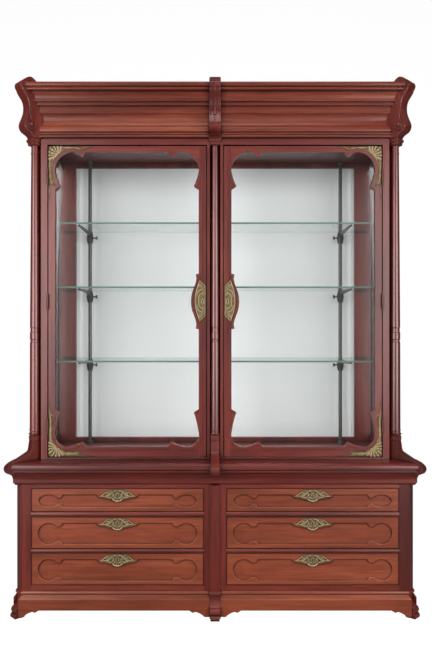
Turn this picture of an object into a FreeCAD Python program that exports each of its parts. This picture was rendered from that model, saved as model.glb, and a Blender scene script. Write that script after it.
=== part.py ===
import FreeCAD, Part
import math
import os

# A large glazed display cabinet in mahogany: a case with two glazed doors and three glass shelves
# stands on a case with six drawers. Three boards, two of them set on the corners' diagonals, carry
# the crown's corbels, the colonettes, the ledge's scrolls, the lower pilasters and the feet.
# X runs to the right, Y to the back, Z up. The origin is under the middle of the whole box.
# A reach is measured forward from the plane of the door fronts, and back from it when negative.

V = FreeCAD.Vector
ZERO = V(0, 0, 0)
RIGHT = V(1, 0, 0)
BACK = V(0, 1, 0)
UP = V(0, 0, 1)
ROOT_TWO = math.sqrt(2)
FULL_TURN = 360
OVERRUN = 5.0  # how far every cut runs past what it cuts
TOUCH = 0.3  # gap between pieces that slide or rest on each other
SHAFT_PLAY = 0.05  # radial play of pins and collars

# Heights, stacked from the floor
PLINTH_HIGH = 118.0
FRAME_HIGH = 483.0
LEDGE_BED_HIGH = 76.0
LEDGE_BOARD = 28.0
SILL_BOARD = 10.0
DOOR_SPACE_HIGH = 1440.0
HEAD_RAIL_HIGH = 25.0
CORNICE_HIGH = 251.0
CREST_RISE = 30.0  # how far the corbels' crests stand above the cornice

frame_top_z = PLINTH_HIGH + FRAME_HIGH
ledge_under_z = frame_top_z + LEDGE_BED_HIGH
ledge_top_z = ledge_under_z + LEDGE_BOARD
sill_top_z = ledge_top_z + SILL_BOARD
head_under_z = sill_top_z + DOOR_SPACE_HIGH
head_top_z = head_under_z + HEAD_RAIL_HIGH
cornice_top_z = head_top_z + CORNICE_HIGH
crest_top_z = cornice_top_z + CREST_RISE

# Plan of the cabinet
FIN_X = 835.0  # the corner colonettes stand this far from the middle
FIN_SETBACK = 20.0  # and this far behind the door fronts
FIN_BOARD = 43.0  # thickness of the corner pilasters and feet
MIDDLE_BOARD = 50.0  # of the middle one
SCROLL_BOARD = 40.0  # of the ledge's three scrolls
CORBEL_BOARD = 52.0  # of the crown's three corbels
CASE_BACK = 440.0  # from the door fronts to the back
UPPER_PROUD = 20.0  # the upper case's face stands this far before the colonettes' axes
LOWER_PROUD = 70.0  # and the lower case's face this far
SCROLL_REACH = 145.0  # the ledge scrolls' tips, from the colonettes' axes
LEDGE_PROUD = 35.0  # the ledge's front edge, from the lower case's face

half_depth = (SCROLL_REACH - FIN_SETBACK + CASE_BACK) / 2
upper_half = FIN_X + UPPER_PROUD
lower_half = FIN_X + LOWER_PROUD
lower_face = LOWER_PROUD - FIN_SETBACK
ledge_nose = lower_face + LEDGE_PROUD
corner_face = FIN_X + FIN_SETBACK - FIN_BOARD / ROOT_TWO  # x where a corner pilaster meets reach 0


def y_at(reach):
    return SCROLL_REACH - FIN_SETBACK - half_depth - reach


FIN_AXIS = V(FIN_X, y_at(-FIN_SETBACK), 0)
MIDDLE_AXIS = V(0, y_at(-FIN_SETBACK), 0)
DIAGONAL = V(1 / ROOT_TWO, -1 / ROOT_TWO, 0)


# Helpers

def block(x0, x1, reach0, reach1, z0, z1):
    """A board between two X, two reaches and two heights, given in any order."""
    xs, zs = sorted((x0, x1)), sorted((z0, z1))
    ys = sorted((y_at(reach0), y_at(reach1)))
    return Part.makeBox(xs[1] - xs[0], ys[1] - ys[0], zs[1] - zs[0], V(xs[0], ys[0], zs[0]))


def outline(start, steps):
    """A closed flat face. Each step is an end point, or a point on an arc and its end point."""
    edges = []
    here = V(start[0], start[1], 0)
    for step in steps:
        points = [V(a, b, 0) for a, b in step]
        if points[-1].distanceToPoint(here) < SHAFT_PLAY:
            continue
        if len(points) == 1:
            edges.append(Part.LineSegment(here, points[0]).toShape())
        else:
            edges.append(Part.Arc(here, points[0], points[1]).toShape())
        here = points[-1]
    first = V(start[0], start[1], 0)
    if here.distanceToPoint(first) > SHAFT_PLAY:
        edges.append(Part.LineSegment(here, first).toShape())
    return Part.Face(Part.Wire(edges))


def curve(points):
    """One smooth edge through flat points."""
    line = Part.BSplineCurve()
    line.interpolate([V(a, b, 0) for a, b in points])
    return line.toShape()


def side_face(smooth, steps):
    """A closed flat face: one smooth curve through points, then steps as in outline."""
    edges = [curve(smooth)]
    here = V(smooth[-1][0], smooth[-1][1], 0)
    for step in steps + [(smooth[0],)]:
        points = [V(a, b, 0) for a, b in step]
        if len(points) == 1:
            edges.append(Part.LineSegment(here, points[0]).toShape())
        else:
            edges.append(Part.Arc(here, points[0], points[1]).toShape())
        here = points[-1]
    return Part.Face(Part.Wire(edges))


def polygon(points):
    return outline(points[0], [(point,) for point in points[1:]])


def carried(shape, origin, across, up):
    """Carries a shape drawn in its own plane to where its first two axes are across and up."""
    out = across.cross(up)
    matrix = FreeCAD.Matrix(across.x, up.x, out.x, origin.x,
                            across.y, up.y, out.y, origin.y,
                            across.z, up.z, out.z, origin.z,
                            0, 0, 0, 1)
    moved = shape.copy()
    moved.Placement = FreeCAD.Placement(matrix)
    return moved


def front_plate(face, reach0, reach1):
    """A face drawn as (x, z), as thick as the space between two reaches."""
    thick = face.extrude(V(0, 0, reach1 - reach0))
    return carried(thick, V(0, y_at(reach0), 0), RIGHT, UP)


def run(face, x0, x1):
    """A moulding whose section is drawn as (reach, z), between two X."""
    thick = face.extrude(V(0, 0, x1 - x0))
    return carried(thick, V(x1, y_at(0), 0), BACK * -1, UP)


def upright(face, z0, z1):
    """A post whose plan is drawn as (x, reach), between two heights."""
    thick = face.extrude(V(0, 0, z1 - z0))
    flat = thick.mirror(ZERO, UP)
    turned = carried(flat, ZERO, RIGHT, BACK * -1)
    turned.translate(V(0, y_at(0), z0))
    return turned


def fin(face, thickness, axis, heading):
    """A board whose side is drawn as (distance from the axis, z), standing along a heading."""
    thick = face.extrude(V(0, 0, thickness))
    out = heading.cross(UP)
    return carried(thick, axis - out * (thickness / 2), heading, UP)


def turned(face, axis):
    """A turned piece whose half section is drawn as (radius, z)."""
    solid = face.revolve(ZERO, BACK, FULL_TURN)
    return carried(solid, axis, RIGHT, UP)


def rod(x, reach, z0, z1, radius):
    return Part.makeCylinder(radius, z1 - z0, V(x, y_at(reach), z0))


def left_of(shape):
    return shape.mirror(ZERO, RIGHT)


def both(shapes):
    return list(shapes) + [left_of(shape) for shape in shapes]


def round_corner(shape):
    """The same piece on the cabinet's right side: mirrored across the corner's diagonal."""
    return shape.mirror(FIN_AXIS, V(1, 1, 0))


def solids(shapes):
    found = []
    for shape in shapes:
        found.extend(shape.Solids)
    return found


nodes = {}


def keep(name, shapes):
    nodes[name] = solids(shapes)
    return nodes[name]


# Crown, ledge and foot boards: side outlines, as (distance from the colonette's axis, z). The shares
# in a profile are of its board's own reach and height.
CORBEL_BACK = 35.0  # the boards' inner ends, behind the axis
CORBEL_REACH = 88.0
CORBEL_CURVE_SHARES = ((0.25, 0.0), (0.38, 0.061), (0.66, 0.117), (0.773, 0.20), (0.67, 0.34), (0.54, 0.47),
                       (0.52, 0.58), (0.608, 0.696), (0.81, 0.789), (0.915, 0.866))
ROLL_SHARES = ((1.0, 0.925), (0.926, 1.0))
BROW_SHARE = 0.74  # from the roll to the crest: where the slope begins to climb
CREST_SHARE = 0.37
CREST_BACK_SHARE = -0.06
CREST_DIP_SHARE = 1 / 6  # of the crest's rise
BROW_RISE_SHARE = 0.42  # its height, as a share of the crest's rise
NECK_WIDE_SHARE = 0.6  # half the neck block's width, as a share of the board's thickness
NECK_DEEP_CORBEL_SHARE = 0.22
NECK_HIGH_SHARE = 0.09
EYE_SHARES = (0.36, 0.239)  # the volute's disc and its boss, on both faces of a corbel
EYE_RADIUS = 29.0
EYE_BOSS = 10.0
EYE_PROUD = 5.0
ABACUS_RISE = 4.0  # how far the capitals rise above the head rails, to the corbels

SCROLL_BACK = 22.0
SCROLL_HIGH = 87.0
SCROLL_CURVE_SHARES = ((0.125, 1.0), (0.160, 0.68), (0.20, 0.448), (0.34, 0.264), (0.625, 0.115),
                       (0.8125, 0.0115), (0.9375, -0.115))
SCROLL_TIP_SHARES = ((1.0, -0.30), (0.985, -0.43))
SCROLL_CHIN_SHARES = ((0.92, -0.56), (0.80, -0.64))
LEDGE_BITE = 20.0  # how deep the ledge is slotted for the middle scroll

PILASTER_BACK = 38.0
PILASTER_PROUD = 10.0
PILASTER_CHAMFER = 8.0
PILASTER_FLAT = 24.0
COLLAR_PROUD = 6.0
KNEE_PROUD = 18.0
KNUCKLE_PROUD = 29.0
NOTCH_PROUD = 24.0
TOE_PROUD = 34.0
TIP_PROUD = 28.0
HEEL_SETBACK = 14.0
COLLAR_TOP_SHARE = 1.025
COLLAR_SHARE = 0.958
ANKLE_SHARE = 0.881
SHIN_SHARE = 0.61
KNEE_SHARE = 0.44
KNUCKLE_SHARE = 0.315
NOTCH_SHARE = 0.20
TOE_SHARE = 0.10
INSTEP_SHARE = 0.25
FOOT_WIDTH_SHARES = ((1.0, 0.68), (0.93, 0.58), (0.93, 0.40), (0.90, 0.24), (0.80, 0.0))
APRON_PROUD = 13.0  # the apron's face, from the lower case's face

corbel_foot_z = head_top_z + ABACUS_RISE
pilaster_face = LOWER_PROUD + PILASTER_PROUD
apron_face = lower_face + APRON_PROUD
middle_slot = ledge_nose + FIN_SETBACK - LEDGE_BITE
corner_slot = (ledge_nose + FIN_SETBACK) * ROOT_TWO - SCROLL_BOARD


def corbel_at(shares):
    tall = cornice_top_z - corbel_foot_z
    return (CORBEL_REACH * shares[0], corbel_foot_z + tall * shares[1])


def corbel_side():
    crest = (CORBEL_REACH * CREST_SHARE, crest_top_z)
    brow = (CORBEL_REACH * BROW_SHARE, cornice_top_z + CREST_RISE * BROW_RISE_SHARE)
    back = (CORBEL_REACH * CREST_BACK_SHARE, cornice_top_z)
    return side_face([corbel_at(shares) for shares in CORBEL_CURVE_SHARES], [
        (corbel_at(ROLL_SHARES[0]), corbel_at(ROLL_SHARES[1])),
        (brow,),
        (((brow[0] + crest[0]) / 2, crest_top_z - CREST_RISE * CREST_DIP_SHARE), crest),
        (((back[0] + crest[0]) / 2, crest_top_z - CREST_RISE * 2 * CREST_DIP_SHARE), back),
        ((-CORBEL_BACK, cornice_top_z),),
        ((-CORBEL_BACK, corbel_foot_z),),
    ])


def scroll_side(nose):
    """A ledge scroll's side; nose is where the ledge's slot for it begins."""
    def at(shares):
        return (SCROLL_REACH * shares[0], ledge_top_z + SCROLL_HIGH * shares[1])

    chin = at(SCROLL_CHIN_SHARES[1])
    return side_face([at(shares) for shares in SCROLL_CURVE_SHARES], [
        (at(SCROLL_TIP_SHARES[0]), at(SCROLL_TIP_SHARES[1])),
        (at(SCROLL_CHIN_SHARES[0]), chin),
        ((nose, chin[1]),),
        ((nose, ledge_top_z),),
        ((-SCROLL_BACK, ledge_top_z),),
        ((-SCROLL_BACK, ledge_top_z + SCROLL_HIGH),),
    ])


def foot_side():
    face, tall = pilaster_face, PLINTH_HIGH

    def at(proud, share):
        return (face + proud, tall * share)

    return outline((face - PILASTER_BACK, tall + OVERRUN), [
        ((face, tall + OVERRUN),),
        (at(0, COLLAR_TOP_SHARE),),
        (at(COLLAR_PROUD, COLLAR_SHARE), at(0, ANKLE_SHARE)),
        (at(-PILASTER_CHAMFER / 4, (ANKLE_SHARE + SHIN_SHARE) / 2), at(0, SHIN_SHARE)),
        (at(KNEE_PROUD - 2 * OVERRUN, (SHIN_SHARE + 2 * KNEE_SHARE) / 3), at(KNEE_PROUD, KNEE_SHARE)),
        (at(KNUCKLE_PROUD, KNUCKLE_SHARE), at(NOTCH_PROUD, NOTCH_SHARE)),
        (at(TOE_PROUD, TOE_SHARE), at(TIP_PROUD, 0)),
        (at(-HEEL_SETBACK, 0),),
        (at(-PILASTER_BACK, INSTEP_SHARE),),
    ])


def scroll_boards(middle_side, corner_side):
    """The ledge's middle board and its two corner boards, from their side outlines."""
    middle = fin(middle_side, SCROLL_BOARD, MIDDLE_AXIS, BACK * -1)
    corner = fin(corner_side, SCROLL_BOARD, FIN_AXIS, DIAGONAL)
    return [middle] + both([corner])


def corbel(board, axis, heading):
    """A crown board with its neck block and, on both faces, a volute's disc and boss."""
    side = fin(corbel_side(), board, axis, heading)
    neck, neck_top = corbel_at((NECK_DEEP_CORBEL_SHARE, NECK_HIGH_SHARE))
    block_side = polygon([(-CORBEL_BACK, corbel_foot_z), (neck, corbel_foot_z), (neck, neck_top),
                          (-CORBEL_BACK, neck_top)])
    extras = [fin(block_side, 2 * board * NECK_WIDE_SHARE, axis, heading)]
    x, z = corbel_at(EYE_SHARES)
    out = heading.cross(UP)
    for radius, proud in ((EYE_RADIUS, EYE_PROUD / 2), (EYE_BOSS, EYE_PROUD)):
        centre = axis + heading * x + UP * z - out * (board / 2 + proud)
        extras.append(Part.makeCylinder(radius, board + 2 * proud, centre, out))
    return side.fuse(extras).removeSplitter()


def corbels():
    middle = corbel(CORBEL_BOARD, MIDDLE_AXIS, BACK * -1)
    corner = corbel(CORBEL_BOARD, FIN_AXIS, DIAGONAL)
    return keep("crown_corbels", [middle] + both([corner]))


def ledge_scrolls():
    return keep("ledge_scrolls", scroll_boards(scroll_side(middle_slot), scroll_side(corner_slot)))


def foot(board, axis, heading):
    """A carved foot: its front part, before the apron, narrows towards the toe."""
    whole = fin(foot_side(), board, axis, heading)
    half = board / 2
    front = side_face([(half * wide, PLINTH_HIGH * high) for wide, high in FOOT_WIDTH_SHARES], [
        ((-half * FOOT_WIDTH_SHARES[-1][0], 0),),
        ((-half, PLINTH_HIGH * FOOT_WIDTH_SHARES[0][1]),),
        ((-half, PLINTH_HIGH + FRAME_HIGH),),
        ((half, PLINTH_HIGH + FRAME_HIGH),),
    ])
    narrowed = whole.common(fin(front, 2 * (pilaster_face + TOE_PROUD), axis, heading.cross(UP)))
    behind = polygon([(0, 0), (apron_face + FIN_SETBACK, 0),
                      (apron_face + FIN_SETBACK, PLINTH_HIGH + FRAME_HIGH), (0, PLINTH_HIGH + FRAME_HIGH)])
    return narrowed.fuse(whole.common(fin(behind, board, axis, heading))).removeSplitter()


def pilaster_plan(board):
    half, face = board / 2, pilaster_face
    return polygon([(face - PILASTER_BACK, -half), (face - PILASTER_CHAMFER, -half),
                    (face, -PILASTER_FLAT / 2), (face, PILASTER_FLAT / 2),
                    (face - PILASTER_CHAMFER, half), (face - PILASTER_BACK, half)])


def pilasters():
    length = V(0, 0, FRAME_HIGH - OVERRUN)
    base = V(0, 0, PLINTH_HIGH + OVERRUN)
    middle = carried(pilaster_plan(MIDDLE_BOARD).extrude(length), MIDDLE_AXIS + base, BACK * -1, RIGHT)
    corner = carried(pilaster_plan(FIN_BOARD).extrude(length), FIN_AXIS + base, DIAGONAL, UP.cross(DIAGONAL))
    shafts = [middle] + both([corner])
    feet = [foot(MIDDLE_BOARD, MIDDLE_AXIS, BACK * -1)] + both([foot(FIN_BOARD, FIN_AXIS, DIAGONAL)])
    return keep("lower_pilasters", [lower.fuse(upper).removeSplitter() for lower, upper in zip(feet, shafts)])


# Colonettes: half sections as (radius, z), and the square capitals
COLUMN_RADIUS = 23.4  # of the drum under the band, at its foot
DRUM_RADIUS_SHARE = 0.957  # radii up the colonette, as shares of it
BAND_RADIUS_SHARE = 0.96
GROOVE_RADIUS_SHARE = 0.87
SHAFT_RADIUS_SHARES = (0.945, 0.714)
RING_PROUD = 1.5
RING_HIGH = 9.0
FOOT_RING_SHARE = 0.008  # heights up the colonette, as shares of its length
DRUM_SHARE = 0.3165
BAND_SHARES = (0.3278, 0.3504)
SHAFT_SHARE = 0.3685
NECK_RING_SHARE = 0.9705
NECK_DROP = 28.0  # from the head rails' tops down to the shafts' tops
CAPITAL_HALF = 28.0
CAPITAL_STEP = 4.5
CAPITAL_STEP_HIGH = 15.0
FOOT_BLOCK_HIGH = 33.0
FOOT_BLOCK_HALF = 20.0

column_foot_z = ledge_top_z + SCROLL_HIGH
shaft_foot_z = column_foot_z + FOOT_BLOCK_HIGH
column_top_z = head_top_z - NECK_DROP
column_high = column_top_z - shaft_foot_z


def ring(z, radius):
    """A rounded ring round a shaft of a radius, from its lower edge up."""
    quarter = RING_HIGH / 4
    out = radius + RING_PROUD
    return [((radius, z),), ((out, z + quarter),), ((out, z + 3 * quarter),), ((radius, z + RING_HIGH),)]


def shaft_section():
    def up(share):
        return shaft_foot_z + share * column_high

    drum, band = COLUMN_RADIUS * DRUM_RADIUS_SHARE, COLUMN_RADIUS * BAND_RADIUS_SHARE
    groove = COLUMN_RADIUS * GROOVE_RADIUS_SHARE
    wide, narrow = [COLUMN_RADIUS * share for share in SHAFT_RADIUS_SHARES]
    slope = RING_HIGH / 3
    steps = [((COLUMN_RADIUS, shaft_foot_z),)] + ring(up(FOOT_RING_SHARE), COLUMN_RADIUS)
    steps += [((drum, up(DRUM_SHARE)),), ((groove, up(DRUM_SHARE) + slope),),
              ((groove, up(BAND_SHARES[0]) - slope),), ((band, up(BAND_SHARES[0])),),
              ((band, up(BAND_SHARES[1])),), ((groove, up(BAND_SHARES[1]) + slope),),
              ((groove, up(SHAFT_SHARE) - slope),), ((wide, up(SHAFT_SHARE)),)]
    steps += ring(up(NECK_RING_SHARE), narrow)
    steps += [((narrow, column_top_z),), ((0, column_top_z),)]
    return outline((0, shaft_foot_z), steps)


def foot_block_side():
    """The side of the square block between a ledge scroll and its colonette."""
    half, step = FOOT_BLOCK_HALF, CAPITAL_STEP / 2
    low, high = column_foot_z, shaft_foot_z
    right = [(half - step, low), (half, low + step), (half, low + half), (half - step, low + half + step),
             (COLUMN_RADIUS - step, high - step), (COLUMN_RADIUS - step, high)]
    return polygon(right + [(-u, z) for u, z in reversed(right)])


def capital_side():
    """A capital's side: neck, step, hollow and abacus."""
    step_half = CAPITAL_HALF - CAPITAL_STEP
    abacus_z = corbel_foot_z - CAPITAL_STEP_HIGH
    neck = COLUMN_RADIUS * SHAFT_RADIUS_SHARES[1]
    right = [(neck, column_top_z), (step_half, column_top_z + CAPITAL_STEP),
             (step_half, abacus_z - CAPITAL_STEP / 2), (CAPITAL_HALF, abacus_z + CAPITAL_STEP / 2),
             (CAPITAL_HALF, corbel_foot_z - CAPITAL_STEP / 2),
             (CAPITAL_HALF - CAPITAL_STEP / 2, corbel_foot_z)]
    return polygon(right + [(-u, z) for u, z in reversed(right)])


def squared(side, axis, heading):
    """A square block that shows the same side on all four faces."""
    wide = 2 * CAPITAL_HALF
    return fin(side, wide, axis, heading).common(fin(side, wide, axis, heading.cross(UP)))


def colonettes():
    face = shaft_section()
    shapes = [turned(face, MIDDLE_AXIS)] + both([turned(face, FIN_AXIS)])
    for side in (capital_side(), foot_block_side()):
        shapes.append(squared(side, MIDDLE_AXIS, BACK * -1))
        shapes += both([squared(side, FIN_AXIS, DIAGONAL)])
    return keep("colonettes", shapes)


# Cornice: sections as (reach, z)
CORNICE_BACK = 45.0
CORNICE_TOP_BEAD = 45.0
CORNICE_BEAD = 40.0
CORNICE_SOFFIT = 18.0
CORNICE_COVE = 8.0
CORNICE_FILLET = 10.0
CORNICE_STEP = 2.0
FASCIA_TOP = -8.0
FASCIA_FOOT = -12.0
COVE_DEEPEST = -23.0
TORUS = -7.0
TOP_BEAD_SHARE = 0.924  # heights in the cornice, as shares of it
BEAD_TOP_SHARE = 0.908
BEAD_UNDER_SHARE = 0.861
SOFFIT_SHARE = 0.829
COVE_FOOT_SHARE = 0.721
FILLET_FOOT_SHARE = 0.685
SPLIT_SHARE = 0.622
FASCIA_FOOT_SHARE = 0.486
COVE_END_SHARE = 0.247
TORUS_FOOT_SHARE = 0.151
BEAD_TWO_SHARE = 0.0956
BEAD_THREE_SHARE = 0.04
COVER_SHARE = 0.84
BEAD_GROOVE = 3.0
SHADOW_LINE = 4.0  # height and reach of the deep grooves over and under the cornice's lowest beads
SHADOW_DEEP = 14.0


def cornice_z(share):
    return head_top_z + CORNICE_HIGH * share


def crown_mouldings():
    split, top = cornice_z(SPLIT_SHARE), cornice_top_z
    fillet, cove = cornice_z(FILLET_FOOT_SHARE), cornice_z(COVE_FOOT_SHARE)
    soffit, under = cornice_z(SOFFIT_SHARE), cornice_z(BEAD_UNDER_SHARE)
    bead_top, top_bead = cornice_z(BEAD_TOP_SHARE), cornice_z(TOP_BEAD_SHARE)
    groove = BEAD_GROOVE
    upper = outline((-CORNICE_BACK, split), [
        ((CORNICE_STEP, split),),
        ((CORNICE_STEP, fillet),),
        ((CORNICE_FILLET, fillet),),
        ((CORNICE_FILLET, cove),),
        ((CORNICE_COVE, cove),),
        ((CORNICE_COVE + groove, (cove + soffit) / 2 + groove), (CORNICE_SOFFIT, soffit)),
        ((CORNICE_SOFFIT, under),),
        ((CORNICE_BEAD - groove, under),),
        ((CORNICE_BEAD, (under + bead_top) / 2), (CORNICE_BEAD - groove, bead_top)),
        ((CORNICE_BEAD - groove, top_bead),),
        ((CORNICE_TOP_BEAD - groove, top_bead),),
        ((CORNICE_TOP_BEAD, (top_bead + top) / 2), (CORNICE_TOP_BEAD - groove, top)),
        ((-CORNICE_BACK, top),),
    ])
    three, two = cornice_z(BEAD_THREE_SHARE), cornice_z(BEAD_TWO_SHARE)
    torus, cove_end = cornice_z(TORUS_FOOT_SHARE), cornice_z(COVE_END_SHARE)
    fascia = cornice_z(FASCIA_FOOT_SHARE)
    line, deep = torus - SHADOW_LINE, SHADOW_DEEP
    lower = outline((-CORNICE_BACK, head_top_z), [
        ((-deep, head_top_z),),
        ((-deep, three),),
        ((-groove, three),),
        ((0, (three + two) / 2), (-groove, two - groove / 2)),
        ((-2 * groove, two),),
        ((-groove, (two + line) / 2), (-2 * groove, line - groove / 2)),
        ((-deep, line),),
        ((-deep, torus),),
        ((TORUS - groove, torus),),
        ((TORUS, (torus + cove_end) / 2), (FASCIA_FOOT, cove_end)),
        ((COVE_DEEPEST, (cove_end + fascia) / 2), (FASCIA_FOOT, fascia)),
        ((FASCIA_TOP, fascia),),
        ((FASCIA_TOP, split),),
        ((-CORNICE_BACK, split),),
    ])
    return corner_runs((lower, upper), CORBEL_BOARD, CORBEL_BOARD)


def corner_slab(board):
    """What lies on or beyond a right corner board's front-left face, as a cutting block."""
    face = FIN_X + FIN_SETBACK - board / ROOT_TWO
    far = FIN_X
    plan = polygon([(face - CASE_BACK, -CASE_BACK), (face + far, far), (face + 2 * far, far),
                    (face + 2 * far, -CASE_BACK)])
    return upright(plan, -OVERRUN, crest_top_z + OVERRUN)


def corner_runs(sections, middle_board, corner_board):
    """Front runs from the middle board to the corner boards, and side runs from there to the back."""
    shapes = []
    start = middle_board / 2
    slab = corner_slab(corner_board)
    for section in sections:
        front = run(section, start, FIN_X + CASE_BACK).cut(slab)
        side = round_corner(run(section, FIN_X + FIN_SETBACK - CASE_BACK, FIN_X + CASE_BACK).cut(slab))
        shapes += both([front, side])
    return shapes


# Ledge between the cases
LEDGE_ROUND = 20.0
COVE_TOP_PROUD = 30.0
COVE_FOOT_PROUD = 8.0
LEDGE_GROOVE = 6.0
FILLET_HIGH = 8.0
COVE_TOP_SHARE = 0.82  # heights in the moulding under the ledge, as shares of it
COVE_FOOT_MOULD_SHARE = 0.26
FOOT_FILLET_SHARE = 0.14
LEDGE_BED = 24.0  # thickness of the frame that the ledge lies on


def ledge_section():
    face, low, tall = lower_face, frame_top_z, LEDGE_BED_HIGH
    back = face - LEDGE_BED
    cove_top, cove_foot = face + COVE_TOP_PROUD, face + COVE_FOOT_PROUD
    top_z, foot_z = low + tall * COVE_TOP_SHARE, low + tall * COVE_FOOT_MOULD_SHARE
    fillet_z = low + tall * FOOT_FILLET_SHARE
    groove = BEAD_GROOVE
    return outline((back, low), [
        ((face, low),),
        ((face + groove, (low + fillet_z) / 2), (cove_foot - groove, fillet_z)),
        ((cove_foot, fillet_z),),
        ((cove_foot, foot_z),),
        ((cove_foot + groove, (foot_z + top_z) / 2), (cove_top - groove, top_z)),
        ((cove_top, top_z),),
        ((cove_top, top_z + FILLET_HIGH),),
        ((cove_top - LEDGE_GROOVE, top_z + FILLET_HIGH),),
        ((cove_top - LEDGE_GROOVE, ledge_under_z),),
        ((back, ledge_under_z),),
    ])


def ledge():
    nose = ledge_nose
    side = FIN_X + FIN_SETBACK + nose
    board = block(-side, side, nose, -CASE_BACK, ledge_under_z, ledge_top_z)
    nosing = [edge for edge in board.Edges
              if edge.BoundBox.ZMin > ledge_top_z - SHAFT_PLAY and edge.BoundBox.YMin < y_at(nose) + SHAFT_PLAY]
    board = board.makeFillet(LEDGE_ROUND, nosing)
    section = ledge_section()
    far = FIN_X + CASE_BACK
    front = run(section, -far, far)
    mitre = corner_block(crest_top_z)
    front = front.cut(mitre).cut(left_of(mitre))
    side_run = round_corner(run(section, FIN_X + FIN_SETBACK - CASE_BACK, far).cut(mitre))
    slots = scroll_boards(ledge_slot(middle_slot), ledge_slot(corner_slot))
    shapes = [board, front] + both([side_run])
    return keep("ledge", [shape.cut(slots) for shape in shapes])


def ledge_slot(start):
    far = FIN_X
    low = ledge_top_z + SCROLL_HIGH * SCROLL_CHIN_SHARES[1][1]
    high = ledge_top_z + SCROLL_HIGH
    return polygon([(start, low), (far, low), (far, high), (start, high)])


def corner_block(top):
    """What lies beyond the right corner's diagonal, seen from the front run."""
    reach = FIN_X + CASE_BACK
    plan = polygon([(FIN_X - CASE_BACK, -FIN_SETBACK - CASE_BACK), (FIN_X + reach, reach - FIN_SETBACK),
                    (FIN_X + 2 * reach, reach - FIN_SETBACK), (FIN_X + 2 * reach, -FIN_SETBACK - CASE_BACK)])
    return upright(plan, -OVERRUN, top)


# Lower case
PANEL = 24.0  # thickness of the lower case's frame and sides
STILE_SETBACK = 1.5  # the drawers' openings end this far inside the colonettes' lines
MIDDLE_STILE_WIDE = 25.0
BASE_BACK_BOARD = 12.0
SIDE_RECESS = 5.0
SIDE_MARGIN = 70.0
BOTTOM_BOARD = 18.0
OPENING_SHARES = ((0.7474, 0.9689), (0.3996, 0.7029), (0.058, 0.3634))  # of the face frame's height
RAIL_BEAD = 4.0
APRON_BOARD = 20.0
PLINTH_STEP = 2.0
PLINTH_BEAD = 4.0
BRACKET_RUN = 92.0
BRACKET_STEP = 23.0
BRACKET_RISE = 60.0
BRACKET_CUSP = 74.0
APRON_FOOT_SHARE = 0.32  # heights in the plinth, as shares of it
SLOPE_SHARES = (0.737, 0.856)
BEAD_SHARES = (0.882, 1.017)
BRACKET_FOOT_SHARE = 0.076
BRACKET_RISE_SHARE = 0.263
BRACKET_HOLLOW_SHARE = 0.20
BRACKET_CUSP_SHARE = 0.229
REAR_FOOT = 60.0
PARTITION = 24.0

# Lock bolts
BOLT_WIDE = 26.0
BOLT_THICK = 9.0
BOLT_LONG = 30.0
BOLT_MORTISE = 10.0
BOLT_ROOM = 1.5  # the mortise is wider than the bolt by this on every side
LOCK_SETBACK = 8.0  # from a drawer's face to its lock case
LOCK_CASE = 14.0

stile_inner = FIN_X - STILE_SETBACK
middle_stile = MIDDLE_BOARD / 2 + MIDDLE_STILE_WIDE
openings = [(PLINTH_HIGH + FRAME_HIGH * low, PLINTH_HIGH + FRAME_HIGH * high) for low, high in OPENING_SHARES]
drawer_middle = (stile_inner + middle_stile) / 2
inner_side = lower_half - PANEL
apron_foot_z = PLINTH_HIGH * APRON_FOOT_SHARE
slope_foot_z = PLINTH_HIGH * SLOPE_SHARES[0]
rail_back = lower_face - PANEL


def bolt_box(x, z, grow):
    """The space of a drawer's bolt, its top at z, grown on every side."""
    middle = lower_face - LOCK_SETBACK - LOCK_CASE / 2
    return block(x - BOLT_WIDE / 2 - grow, x + BOLT_WIDE / 2 + grow,
                 middle - BOLT_THICK / 2 - grow, middle + BOLT_THICK / 2 + grow, z - BOLT_LONG, z)


def face_frame():
    slab = corner_slab(FIN_BOARD)
    outer = block(stile_inner, lower_half, lower_face, rail_back, PLINTH_HIGH, frame_top_z).cut(slab)
    inner = block(MIDDLE_BOARD / 2, middle_stile, lower_face, rail_back, PLINTH_HIGH, frame_top_z)
    shapes = [outer, inner]
    edges = [frame_top_z] + [z for opening in openings for z in reversed(opening)] + [PLINTH_HIGH]
    for top, under in zip(edges[0::2], edges[1::2]):
        middle = (top + under) / 2
        rail = outline((rail_back, under), [
            ((lower_face, under),),
            ((lower_face, under + RAIL_BEAD / 2),),
            ((lower_face + RAIL_BEAD, middle), (lower_face, top - RAIL_BEAD / 2)),
            ((lower_face, top),),
            ((rail_back, top),),
        ])
        if top == frame_top_z or under == PLINTH_HIGH:
            piece = block(middle_stile, stile_inner, rail_back, lower_face, under, top)
        else:
            piece = run(rail, middle_stile, stile_inner)
        if under != PLINTH_HIGH:
            piece = piece.cut(bolt_box(drawer_middle, under + BOLT_MORTISE, BOLT_ROOM))
        shapes.append(piece)
    return keep("base_face_frame", both(shapes))


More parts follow.
